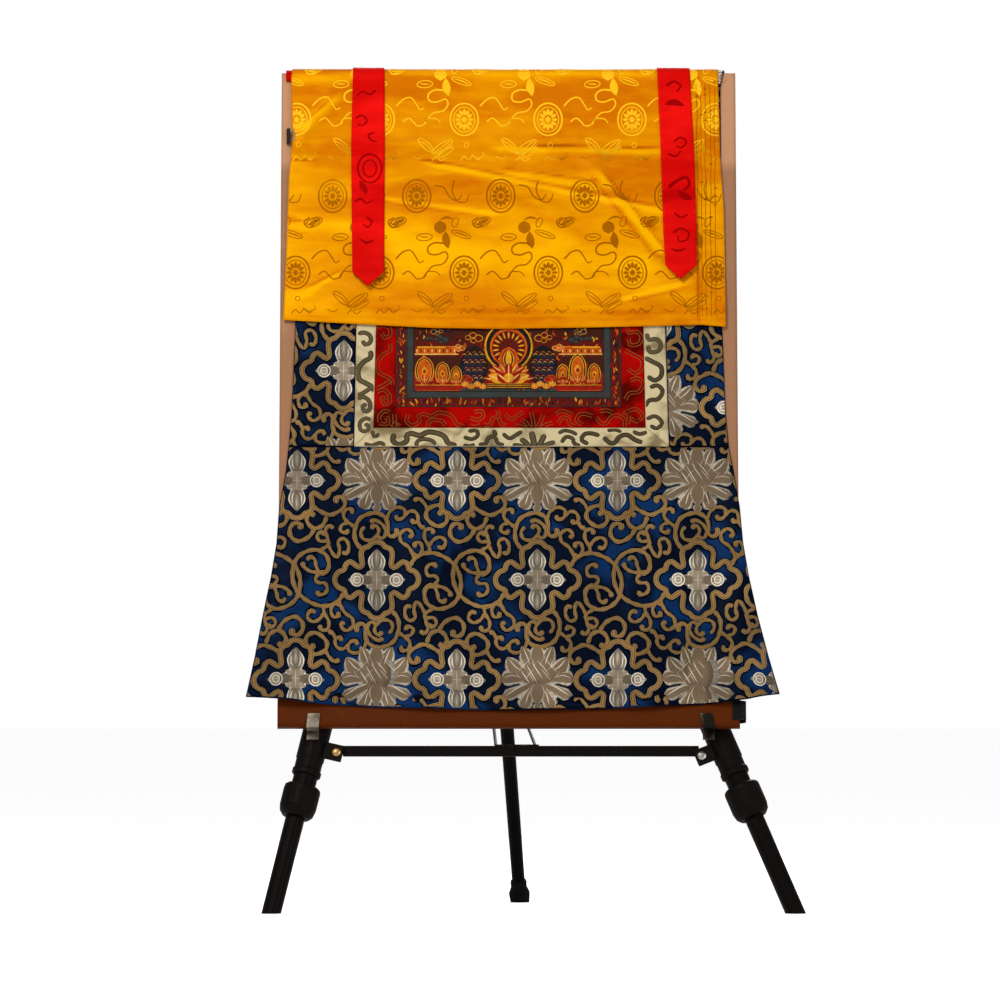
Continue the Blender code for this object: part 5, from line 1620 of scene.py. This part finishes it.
    def build(self) -> None:
        """Makes the painted cloth and the paint."""
        finishes = []
        for name in ("painted_cloth", "paint"):
            material, write, shader = new_material(
                name, Roughness=0.5, Specular_IOR_Level=0.05, Coat_Weight=0.12, Coat_Roughness=0.08
            )
            place = write.place("Object")
            tint = write.attribute("tint", "Color") if name == "paint" else Paint.SLATE.value
            worn = write.remap(write.noise(place, 90.0, 4.0), 0.35, 0.75, 0.0, 0.45)
            colour = write.mix(worn, tint, Paint.BROWN.value if name == "paint" else Paint.TEAL.value)
            write.feed(shader.inputs["Base Color"], colour)
            bump(write, shader, write.noise(place, 500.0, 2.0), 0.25, 0.00006)
            finishes.append(material)
        size = (np.linspace(0, 1, 60), np.linspace(0, 1, 80))
        panel = self.panel()
        cloth, area = cloth_object(
            "painting_cloth", panel.shape, DRAPE.base, size, DRAPE.painting_thick, finishes[0]
        )
        dress(cloth, ("painting",))
        strokes = [stroke.moved(0.0, self.base) for stroke in self.design()]
        design = Relief.of(strokes).clipped(panel.shrunk(self.edge_inset))
        paint = relief_object(
            "painting_design", design, lambda u, v: DRAPE.base(u, v) + DRAPE.painting_thick, finishes[1], True
        )
        dress(paint)


# Figures of the damask round a roundel, in millimetres from its middle
DAMASK_LINES = (
    (2.6, Outline.TAPER, (
        (-25, 41), (-39, 42), (-48, 36), (-47, 27), (-37, 25), (-25, 29), (-22, 21), (-29, 12), (-42, 9),
        (-52, -3), (-55, -8)
    )),
    (2.4, Outline.TAPER, ((21, 19), (31, 29), (41, 31), (48, 22), (53, 14), (59, 17))),
    (2.2, Outline.TAPER, ((30, -3), (38, 2), (45, -4), (50, -9), (60, -6), (63, 1), (75, 1), (81, -5))),
    (11.0, Outline.LEAF, ((-25, 58), (-24, 46), (-21, 34))),
    (2.0, Outline.LEAF, ((-16, 58), (-5, 55), (8, 49))),
    (1.6, Outline.LEAF, ((-60, 51), (-53, 50), (-46, 50))),
    (4.5, Outline.LEAF, ((15, 67), (24, 71), (33, 76))),
    (1.4, Outline.BAND, ((-93, 72), (-88, 75), (-84, 72), (-88, 70))),
    (1.3, Outline.BAND, ((-62, -30), (-50, -38), (-40, -50))),
    (1.3, Outline.BAND, ((-44, -50), (-32, -42), (-20, -32))),
    (1.3, Outline.BAND, ((-40, -52), (-28, -46), (-15, -37))),
    (1.6, Outline.TAPER, ((-70, -52), (-62, -56), (-55, -52))),
    (1.6, Outline.TAPER, ((10, -50), (18, -55), (27, -51), (24, -46))),
)
DAMASK_RINGS = (
    # Middle, half-sizes, turn, line width
    (-53, 50, 10.5, 5.0, 4, 1.4),
    (-4, 54, 14.0, 4.0, -20, 1.3),
    (-12, 71, 3.8, 7.0, -22, 1.3),
    (-89, 72, 9.0, 4.6, 14, 1.3),
    (24, 71, 12.0, 6.0, 24, 1.4),
    (-52, -37, 13.5, 4.6, -44, 1.4),
    (-29, -39, 15.5, 4.4, 34, 1.4),
    (-24, -47, 12.0, 2.8, 32, 1.1),
    (3, -37, 3.0, 3.4, 0, 1.2),
)
DAMASK_OTHER_LINES = (
    (2.4, Outline.TAPER, ((24, 15), (36, 12), (44, -1), (54, -6), (61, 2))),
    (2.2, Outline.TAPER, ((-62, 22), (-65, 8), (-58, -7), (-47, -8), (-42, 3))),
    (1.6, Outline.BAND, ((-54, 50), (-49, 56), (-43, 51), (-37, 57), (-31, 51), (-26, 55))),
    (1.6, Outline.BAND, ((20, 50), (26, 55), (32, 50), (39, 54))),
    (2.4, Outline.TAPER, ((-30, -30), (-38, -36), (-33, -44), (-24, -41))),
    (3.2, Outline.LEAF, ((30, -34), (40, -30), (50, -33))),
)
DAMASK_PITCH = (0.1125, 0.2165)
OTHER_ROUNDEL = (49.0, 108.0)


def damask_cell() -> Relief:
    """One repeat of the damask: two rosette roundels and all that lies round them."""
    strokes = [Stroke(points, width, outline) for width, outline, points in DAMASK_LINES]
    strokes += [Stroke.ring(*row) for row in DAMASK_RINGS]
    strokes.append(Stroke.disc(-32, 64, 8.5, 9.0))
    roundel = [
        Stroke.ring(0, 0, 18.8, 23.0, 0, 2.4), Stroke.ring(0, 0, 14.2, 17.8, 0, 1.3),
        Stroke.disc(0, 0, 3.6, 4.4)
    ]
    for step in range(12):
        angle = step * math.pi / 6
        x, y = math.sin(angle), math.cos(angle) * 1.24
        leaf = tuple((reach * x, reach * y) for reach in (4.6, 8.4, 12.6))
        roundel.append(Stroke(leaf, 4.6, Outline.LEAF))
    other = [Stroke(points, width, outline) for width, outline, points in DAMASK_OTHER_LINES] + roundel
    strokes += roundel + [stroke.moved(*OTHER_ROUNDEL) for stroke in other]
    return Relief.of([replace(stroke, flat=True, height=0.10) for stroke in strokes])


@dataclass(frozen=True)
class SatinFinish:
    """Damask satin with painted sheen and painted shade along its folds: dull, bright and figure colours.

    The cloth's painted sheen is its own attribute with soft streaks, and where it falls below zero the
    colour goes to the dark figure colour as painted shade. The figures are darker than the cloth below
    the turn height and lighter above it, a painted sheen that changes with height.
    """

    name: str
    # The satin's colour in painted shade, and in its painted sheen
    dull: Colour
    bright: Colour
    dark_figure: Colour
    light_figure: Colour
    figure: bool = False
    # Height below which the figures are painted darker and above which lighter, as painted sheen
    turn: float = 1.03
    rough: float = 0.36

    def build(self) -> bpy.types.Material:
        """Makes the material."""
        material, write, shader = new_material(
            self.name, Anisotropic=0.5, Specular_IOR_Level=0.35, Specular_Tint=self.bright
        )
        place = write.place("Object")
        streak = write.remap(write.noise(write.stretched(place, (6.0, 6.0, 15.0)), 1.0, 4.0, 0.8), 0.36, 0.64)
        fine = write.remap(
            write.noise(write.stretched(place, (24.0, 24.0, 90.0)), 1.0, 2.0), 0.35, 0.70, -0.10, 0.10
        )
        # Painted sheen: the cloth's own attribute plus fine and broad streaks
        light = write.maths(
            "ADD", write.maths("ADD", write.attribute("glow"), fine), write.maths("MULTIPLY", streak, 0.42)
        )
        glow = write.maths("ADD", light, 0.0, True)
        colour = write.mix(glow, self.dull, self.bright)
        # Painted shade: below zero the colour goes to the dark figure colour
        colour = write.mix(write.remap(light, -0.5, 0.02), self.dark_figure, colour)
        if self.figure:
            # Painted sheen of the damask: figures dark below the turn height and light above it
            z = write.maths("ADD", write.split(place)[2], write.maths("MULTIPLY", streak, 0.05))
            light = write.remap(z, self.turn - 0.03, self.turn + 0.03)
            figure = write.mix(light, self.dark_figure, self.light_figure)
            figure = write.mix(write.maths("MULTIPLY", glow, 0.35), figure, colour)
            # Marks with full tone, the pleats' painted shade lines, take the dark figure colour
            colour = write.mix(write.attribute("tone"), figure, self.dark_figure)
        write.feed(shader.inputs["Base Color"], colour)
        rough = write.maths("SUBTRACT", self.rough + 0.06, write.maths("MULTIPLY", glow, 0.12))
        write.feed(shader.inputs["Roughness"], rough)
        weave = write.group(GROUPS.weave, Vector=write.place("UV"), Pitch=0.0007)
        bump(write, shader, weave.outputs["Height"], 0.2, 0.00008)
        return material


# Painted highlight and painted shade bands of the veil's satin along its folds:
# u and s at both ends, strength, half-width, in metres
VEIL_SHEEN_BANDS = (
    (-0.110, 0.782, 0.205, 0.714, 0.80, 0.0038),
    (-0.110, 0.789, 0.200, 0.722, -0.55, 0.0022),
    (-0.008, 0.768, 0.125, 0.748, 0.60, 0.0050),
    (-0.004, 0.775, 0.128, 0.756, -0.50, 0.0018),
    (-0.170, 0.733, -0.015, 0.711, 0.70, 0.0034),
    (-0.170, 0.729, -0.030, 0.707, -0.35, 0.0020),
    (-0.020, 0.803, 0.210, 0.799, 0.70, 0.0040),
    (0.020, 0.808, 0.208, 0.804, -0.80, 0.0013),
    (0.120, 0.768, 0.205, 0.657, 0.85, 0.0048),
    (0.128, 0.768, 0.208, 0.664, -0.70, 0.0018),
    (0.112, 0.762, 0.192, 0.655, -0.60, 0.0020),
    (0.133, 0.746, 0.152, 0.732, -1.10, 0.0030),
    (0.182, 0.700, 0.196, 0.690, -0.90, 0.0025),
    (0.190, 0.656, 0.206, 0.650, -0.90, 0.0022),
    (-0.280, 0.830, -0.228, 0.878, 0.75, 0.0060),
    (-0.276, 0.838, -0.238, 0.874, -0.60, 0.0018),
    (-0.285, 0.590, -0.225, 0.628, 0.60, 0.0036),
    (-0.262, 0.612, -0.228, 0.630, -0.80, 0.0018),
    (0.150, 0.590, 0.240, 0.614, 0.65, 0.0040),
    (0.150, 0.584, 0.235, 0.606, -0.50, 0.0022),
    (-0.290, 0.902, -0.180, 0.905, 0.55, 0.0070),
    (-0.150, 0.912, 0.200, 0.909, 0.55, 0.0045),
    (-0.300, 0.790, -0.262, 0.786, -0.80, 0.0016),
    (-0.300, 0.705, -0.270, 0.700, -0.80, 0.0022),
    (-0.300, 0.690, -0.272, 0.684, -0.60, 0.0018),
    (-0.280, 0.700, -0.100, 0.690, 0.35, 0.0140),
    (-0.160, 0.655, 0.190, 0.640, 0.50, 0.0220),
    (-0.115, 0.787, -0.085, 0.781, -1.10, 0.0016),
    (-0.290, 0.566, 0.280, 0.562, -0.25, 0.0016),
    (-0.200, 0.578, 0.210, 0.570, -0.30, 0.0040),
    (0.253, 0.560, 0.253, 0.915, -0.50, 0.0020),
)


@dataclass
class Veil:
    """The gold damask cover cloth that hangs in front of the painting."""

    finish: SatinFinish = SatinFinish(
        "gold_satin", srgb(200, 104, 0), srgb(242, 172, 2), srgb(150, 84, 0), srgb(244, 186, 34)
    )
    tail: float = 0.080
    flat: Point = (0.591, 0.473)
    edge_inset: float = 0.0015
    start: Point = (-0.0595, 0.6285)
    # Places across, in millimetres, of the pleats down the right edge, whose shade is painted as dark lines
    pleats: tuple[float, ...] = (252.5, 258.5, 264.0, 270.5, 276.5)

    def panel(self) -> Panel:
        """Its cut, over the board's top edge and down its back."""
        sides = np.array(VEIL_SIDES)
        high = BOARD.back_start + self.tail
        return Panel.between(sides[:, (0, 1)], sides[:, (0, 2)], VEIL_HEM, ((-1.0, high), (1.0, high)))

    def glow(self, u: Array, v: Array) -> Array:
        """Painted sheen of the satin: brighter across its lower middle and down its left edge, plus the
        painted highlight and shade bands.
        """
        lower = 0.40 * np.exp(-(((v - 0.660) / 0.075) ** 2)) + 0.15 * np.exp(-(((u + 0.29) / 0.03) ** 2))
        return lower + sum(DRAPE.ridge(u, v, row) for row in VEIL_SHEEN_BANDS)

    def pleat_lines(self) -> list[Stroke]:
        """Painted shade: fine dark lines down the pleats at the veil's right edge, with small dark flecks
        across them.
        """
        draw = np.random.default_rng(5)
        lines = []
        for x in self.pleats:
            height = np.arange(566, 912, 22)
            points = tuple(zip(x + draw.normal(0, 0.5, len(height)), height))
            lines.append(Stroke(points, 0.9, tone=1.0, height=0.1, flat=True))
        for _ in range(26):
            x, y = draw.choice(self.pleats), draw.uniform(575, 900)
            fleck = ((x - 2, y), (x, y + 2), (x + 3, y + 1))
            lines.append(Stroke(fleck, 2.4, Outline.LEAF, 0.12, 1.0, flat=True))
        return lines

    def build(self) -> None:
        """Makes the veil and its figures."""
        size = (np.linspace(0, 1, 165), np.linspace(0, 1, 135))
        panel = self.panel()
        cloth, area = cloth_object(
            "veil_cloth", panel.shape, DRAPE.veil, size, DRAPE.veil_thick, self.finish.build()
        )
        u, v = panel.shape(*np.meshgrid(*size))
        # Painted sheen and shade of the satin, stored on the cloth for its finish
        add_attribute(cloth, "glow", self.glow(u, v).ravel())
        dress(cloth, ("veil",))
        cell = damask_cell()
        high = (0.29, BOARD.back_start + self.tail)
        places = BrocadePattern.lattice(self.start, (-0.30, 0.55), high, DAMASK_PITCH)
        chart = Relief.merged([cell.tiled(places), Relief.of(self.pleat_lines())])
        chart = chart.clipped(panel.shrunk(self.edge_inset))
        material = replace(self.finish, name="gold_figures", figure=True).build()
        figures = relief_object(
            "veil_figures", chart, lambda u, v: DRAPE.veil(u, v) + DRAPE.veil_thick, material, True
        )
        dress(figures)


# Figures on the ribbons, in millimetres on the board
RIBBON_LINES = (
    (3.0, Outline.TAPER, ((-205, 846), (-197, 850), (-190, 843), (-196, 836), (-203, 838))),
    (3.0, Outline.TAPER, ((-180, 826), (-188, 822), (-184, 814), (-176, 812))),
    (9.0, Outline.LEAF, ((-200, 758), (-195, 750), (-190, 738))),
    (3.0, Outline.TAPER, ((-206, 728), (-198, 732), (-190, 726), (-182, 730))),
    (3.0, Outline.TAPER, ((-190, 706), (-183, 700), (-188, 692), (-195, 696))),
    (4.0, Outline.LEAF, ((-200, 676), (-190, 670), (-180, 674))),
    (3.0, Outline.TAPER, ((-178, 886), (-186, 880), (-196, 884), (-204, 878))),
    (3.4, Outline.TAPER, ((212, 892), (222, 898), (231, 892), (226, 884))),
    (9.0, Outline.LEAF, ((210, 866), (222, 869), (236, 864))),
    (3.0, Outline.TAPER, ((222, 812), (230, 818), (238, 812), (232, 804), (225, 806))),
    (3.0, Outline.TAPER, ((214, 796), (224, 792), (231, 800))),
    (5.0, Outline.TAPER, ((214, 748), (226, 758), (238, 762), (242, 752), (234, 744))),
    (10.0, Outline.LEAF, ((226, 744), (235, 736), (246, 732))),
    (3.0, Outline.TAPER, ((222, 712), (230, 706), (240, 710))),
    (3.0, Outline.TAPER, ((220, 684), (230, 690), (241, 684), (238, 674), (228, 672), (226, 680))),
    (3.4, Outline.LEAF, ((216, 662), (226, 658), (238, 662))),
)
# Painted shade bands across the ribbons: u and s at both ends, strength, half-width
RIBBON_SHADE_BANDS = ((-0.215, 0.742, -0.160, 0.748, -0.5, 0.010), (0.200, 0.735, 0.255, 0.742, -0.6, 0.010))


@dataclass
class Ribbons:
    """The two pointed red ribbons, and the strip of red silk under the veil's left edge."""

    finish: SatinFinish = SatinFinish(
        "red_satin", srgb(176, 4, 8), srgb(238, 26, 22), srgb(132, 0, 8), srgb(168, 6, 16), turn=2.0
    )
    point: float = 0.021
    tail: float = 0.060
    width: float = 0.0455
    # Painted sheen: the even brightness of the ribbons' satin, before the painted shade bands
    even_glow: float = 0.35
    edge_inset: float = 0.001
    strip_width: float = 0.0135
    strip_left: float = -0.2990
    strip_right: float = -0.2855
    strip_low: float = 0.900
    strip_tail: float = 0.040

    def panel(self, name: str) -> Panel:
        """A ribbon's cut, with its pointed tip."""
        rows = np.array(RIBBONS[name])
        low, left, right = rows[0]
        tip = ((left, low), ((left + right) / 2, low - self.point), (right, low))
        high = BOARD.back_start + self.tail
        return Panel.between(rows[:, (0, 1)], rows[:, (0, 2)], tip, ((-1.0, high), (1.0, high)))

    def build(self) -> None:
        """Makes both ribbons with their figures, and the strip."""
        material = self.finish.build()
        figure_material = replace(self.finish, name="red_figures", figure=True).build()
        roundel = [Stroke.ring(-186, 775, 16, 20, 0, 2.6), Stroke.ring(-186, 775, 9, 12, 0, 2.0)]
        lines = [Stroke(points, width, outline) for width, outline, points in RIBBON_LINES] + roundel
        chart = Relief.of([replace(stroke, flat=True, height=0.10) for stroke in lines])
        for name, rows in RIBBONS.items():
            tip = rows[0][0] - self.point
            size = (np.linspace(0, 1, 17), np.linspace(0, 1, 150))
            panel = self.panel(name)

            def lift(u: Array, v: Array, tip: float = tip) -> Array:
                return DRAPE.ribbon(u, v, tip)

            def above(u: Array, v: Array, tip: float = tip) -> Array:
                return DRAPE.ribbon(u, v, tip) + DRAPE.ribbon_thick

            cloth, area = cloth_object(name + "_cloth", panel.shape, lift, size, DRAPE.ribbon_thick, material)
            u, v = panel.shape(*np.meshgrid(*size))
            # Painted sheen of the ribbons, with painted shade bands across them
            glow = self.even_glow + sum(DRAPE.ridge(u, v, row) for row in RIBBON_SHADE_BANDS)
            add_attribute(cloth, "glow", glow.ravel())
            dress(cloth, (name,))
            cut = chart.clipped(panel.shrunk(self.edge_inset))
            figures = relief_object(name + "_figures", cut, above, figure_material, True)
            dress(figures)
        ends = [((0.0, u), (2.0, u)) for u in (self.strip_left, self.strip_right)]
        low, high = self.strip_low, BOARD.back_start + self.strip_tail
        panel = Panel.between(*ends, ((-1.0, low), (1.0, low)), ((-1.0, high), (1.0, high)))
        size = (np.linspace(0, 1, 6), np.linspace(0, 1, 40))
        cloth, area = cloth_object(
            "under_cloth_strip", panel.shape, DRAPE.base, size, DRAPE.brocade_thick, material
        )
        dress(cloth, ("under_cloth",))


@dataclass(frozen=True)
class HardFinish:
    """Wood, metal, plastic or rubber: a colour with worn and dusty patches and a fine grain."""

    name: str
    colour: Colour
    worn: Colour
    rough: float = 0.5
    metal: float = 0.0
    share: float = 0.6
    grain: float = 300.0
    relief: float = 0.00005
    foot: Colour | None = None
    foot_top: Point = (0.292, 0.298)
    # Painted light: a paler colour high up on the board, reached between the two heights that follow
    upper: Colour = srgb(186, 138, 104)
    upper_start: Point = (0.985, 1.005)
    specular: float = 0.10

    def build(self) -> bpy.types.Material:
        """Makes the material; with a foot colour, that is its colour low down, and high up it turns paler as
        painted light.
        """
        material, write, shader = new_material(
            self.name, Metallic=self.metal, Specular_IOR_Level=self.specular
        )
        place = write.place("Object")
        mottle = write.group(GROUPS.mottle, Vector=place, Scale=22.0, Low=self.share, High=self.share + 0.25)
        grain = write.noise(place, self.grain, 2.0)
        colour = write.mix(mottle.outputs["Mask"], self.colour, self.worn)
        if self.foot:
            z = write.split(place)[2]
            # Painted light: paler towards the board's top; then darker brown low down, as the bottom rail
            colour = write.mix(write.remap(z, *self.upper_start), colour, self.upper)
            colour = write.mix(write.remap(z, *self.foot_top), self.foot, colour)
        write.feed(shader.inputs["Base Color"], colour)
        write.feed(
            shader.inputs["Roughness"], write.remap(grain, 0.3, 0.7, self.rough - 0.06, self.rough + 0.08)
        )
        bump(write, shader, grain, 0.3, self.relief)
        return material


@dataclass
class Stand:
    """The board with its clips and the tripod easel, which keep their solid shapes."""

    finishes: dict[str, HardFinish] = field(
        default_factory=lambda: {
            # The board's sides: paler high up as painted light, darker brown low down
            "board_side": HardFinish(
                "board_side", srgb(156, 113, 85), srgb(172, 128, 98), 0.6, foot=srgb(86, 39, 6), specular=0.05
            ),
            "board_foot": HardFinish("board_foot", srgb(84, 38, 5), srgb(108, 54, 12), 0.45, specular=0.05),
            "clip": HardFinish("clip_black", (0.005, 0.004, 0.0035), (0.02, 0.017, 0.014), 0.35),
            "bright": HardFinish("bright_metal", (0.50, 0.48, 0.45), (0.30, 0.28, 0.25), 0.28, 1.0),
            "hook": HardFinish(
                "hook_metal", (0.012, 0.010, 0.008), (0.36, 0.31, 0.24), 0.32, 0.6, share=0.42
            ),
            "tube": HardFinish(
                "tube_black", (0.0035, 0.0022, 0.0018), (0.007, 0.0045, 0.0038), 0.40, specular=0.05
            ),
            "plastic": HardFinish(
                "plastic_black", (0.0045, 0.0026, 0.002), (0.008, 0.005, 0.004), 0.50, specular=0.06
            ),
            "rubber": HardFinish("rubber_black", (0.006, 0.006, 0.006), (0.012, 0.011, 0.010), 0.8),
            "brass": HardFinish("brass_metal", (0.55, 0.33, 0.12), (0.25, 0.14, 0.05), 0.3, 1.0),
        }
    )
    nodes: dict[str, tuple[str, ...]] = field(
        default_factory=lambda: {
            "board_side": ("rail_left", "rail_right", "rail_top", "back_panel"),
            "board_foot": ("rail_bottom",),
            "clip": ("clip_left", "clip_right"),
            "bright": ("wire_left", "bolt_right"),
            "hook": ("hook_left", "hook_right"),
            "tube": (
                "upper_tube_left", "upper_tube_right", "lower_tube_left", "lower_tube_right", "rear_leg",
                "crossbar_left", "crossbar_right", "centre_plate", "strut_left", "strut_right",
            ),
            "plastic": (
                "hub", "rear_collar", "knob_left", "knob_right", "ring_left", "ring_right",
                "sleeve_left", "sleeve_right", "ear_left", "ear_right",
            ),
            "rubber": ("rear_foot",),
            "brass": ("bolt_left",),
        }
    )

    def build(self) -> None:
        """Gives every solid that stays its finish."""
        for kind, names in self.nodes.items():
            material = self.finishes[kind].build()
            for name in names:
                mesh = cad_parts[name].data
                mesh.materials.clear()
                mesh.materials.append(material)
                LOG.info("%s: %s", name, material.name)


class Studio:
    """The camera, the lights, and the pale floor."""

    camera_place: tuple[float, float, float] = (BOARD.x - 0.0115, BOARD.y - 13.1, 0.3477)
    camera_pitch: float = math.radians(0.8586)
    lens: float = 357.9
    ambient: float = 0.34

    def build_camera(self) -> None:
        """Places the camera at the photograph's viewing angle."""
        data = bpy.data.cameras.new("camera")
        data.sensor_width = 36.0
        data.lens = self.lens
        data.clip_end = 100.0
        camera = bpy.data.objects.new("camera", data)
        camera.location = self.camera_place
        camera.rotation_euler = (math.pi / 2 + self.camera_pitch, 0.0, 0.0)
        bpy.context.scene.collection.objects.link(camera)
        bpy.context.scene.camera = camera

    def add_light(
        self, name: str, place: Colour, target: Colour, size: float, power: float, colour: Colour
    ) -> None:
        """A square soft light at a place that faces a target."""
        data = bpy.data.lights.new(name, "AREA")
        data.size = size
        data.energy = power
        data.color = colour
        light = bpy.data.objects.new(name, data)
        light.location = place
        light.rotation_euler = (Vector(target) - Vector(place)).to_track_quat("-Z", "Y").to_euler()
        bpy.context.scene.collection.objects.link(light)

    def build_lights(self) -> None:
        """Soft lights from the front, both sides and behind, in a world that looks white."""
        middle = (0.0, -0.1, 0.6)
        self.add_light("key_light", (-1.3, -2.8, 3.3), middle, 1.3, 98.0, (1.0, 0.96, 0.90))
        self.add_light("fill_light", (2.6, -2.8, 1.3), middle, 2.0, 26.0, (0.96, 0.98, 1.0))
        self.add_light("back_light", (0.8, 3.4, 2.6), middle, 2.0, 80.0, (1.0, 1.0, 1.0))
        world = bpy.data.worlds.new("studio")
        world.use_nodes = True
        background = world.node_tree.nodes["Background"]
        write = Nodes(world.node_tree)
        seen = write.add("ShaderNodeLightPath").outputs["Is Camera Ray"]
        write.feed(background.inputs["Color"], (1.0, 1.0, 1.0))
        write.feed(background.inputs["Strength"], write.remap(seen, 0.0, 1.0, self.ambient, 1.0))
        bpy.context.scene.world = world

    def build_floor(self) -> None:
        """A wide pale floor, a little lighter to the camera than its own light makes it."""
        half = 30.0
        corners = np.array([(-half, -half, 0.0), (half, -half, 0.0), (-half, half, 0.0), (half, half, 0.0)])
        material, write, shader = new_material("studio_floor", Roughness=0.9)
        cloudy = write.noise(write.place("Object"), 1.5, 2.0)
        write.feed(shader.inputs["Base Color"], write.mix(cloudy, (0.88, 0.88, 0.88), (0.91, 0.91, 0.91)))
        seen = write.add("ShaderNodeLightPath").outputs["Is Camera Ray"]
        write.feed(shader.inputs["Emission Color"], write.mix(seen, (0.0, 0.0, 0.0), (0.66, 0.66, 0.66)))
        shader.inputs["Emission Strength"].default_value = 1.0
        new_object("studio_floor", corners, grid_faces(2, 2), material)


def main() -> None:
    """Builds the scene, piece by piece."""
    logging.basicConfig(level=logging.INFO, format="%(name)s %(message)s")
    bpy.context.scene.view_settings.view_transform = "Standard"
    studio = Studio()
    studio.build_camera()
    studio.build_lights()
    studio.build_floor()
    Brocade().build()
    Borders().build()
    Painting().build()
    Veil().build()
    Ribbons().build()
    Stand().build()


if __name__ == "__main__":
    main()
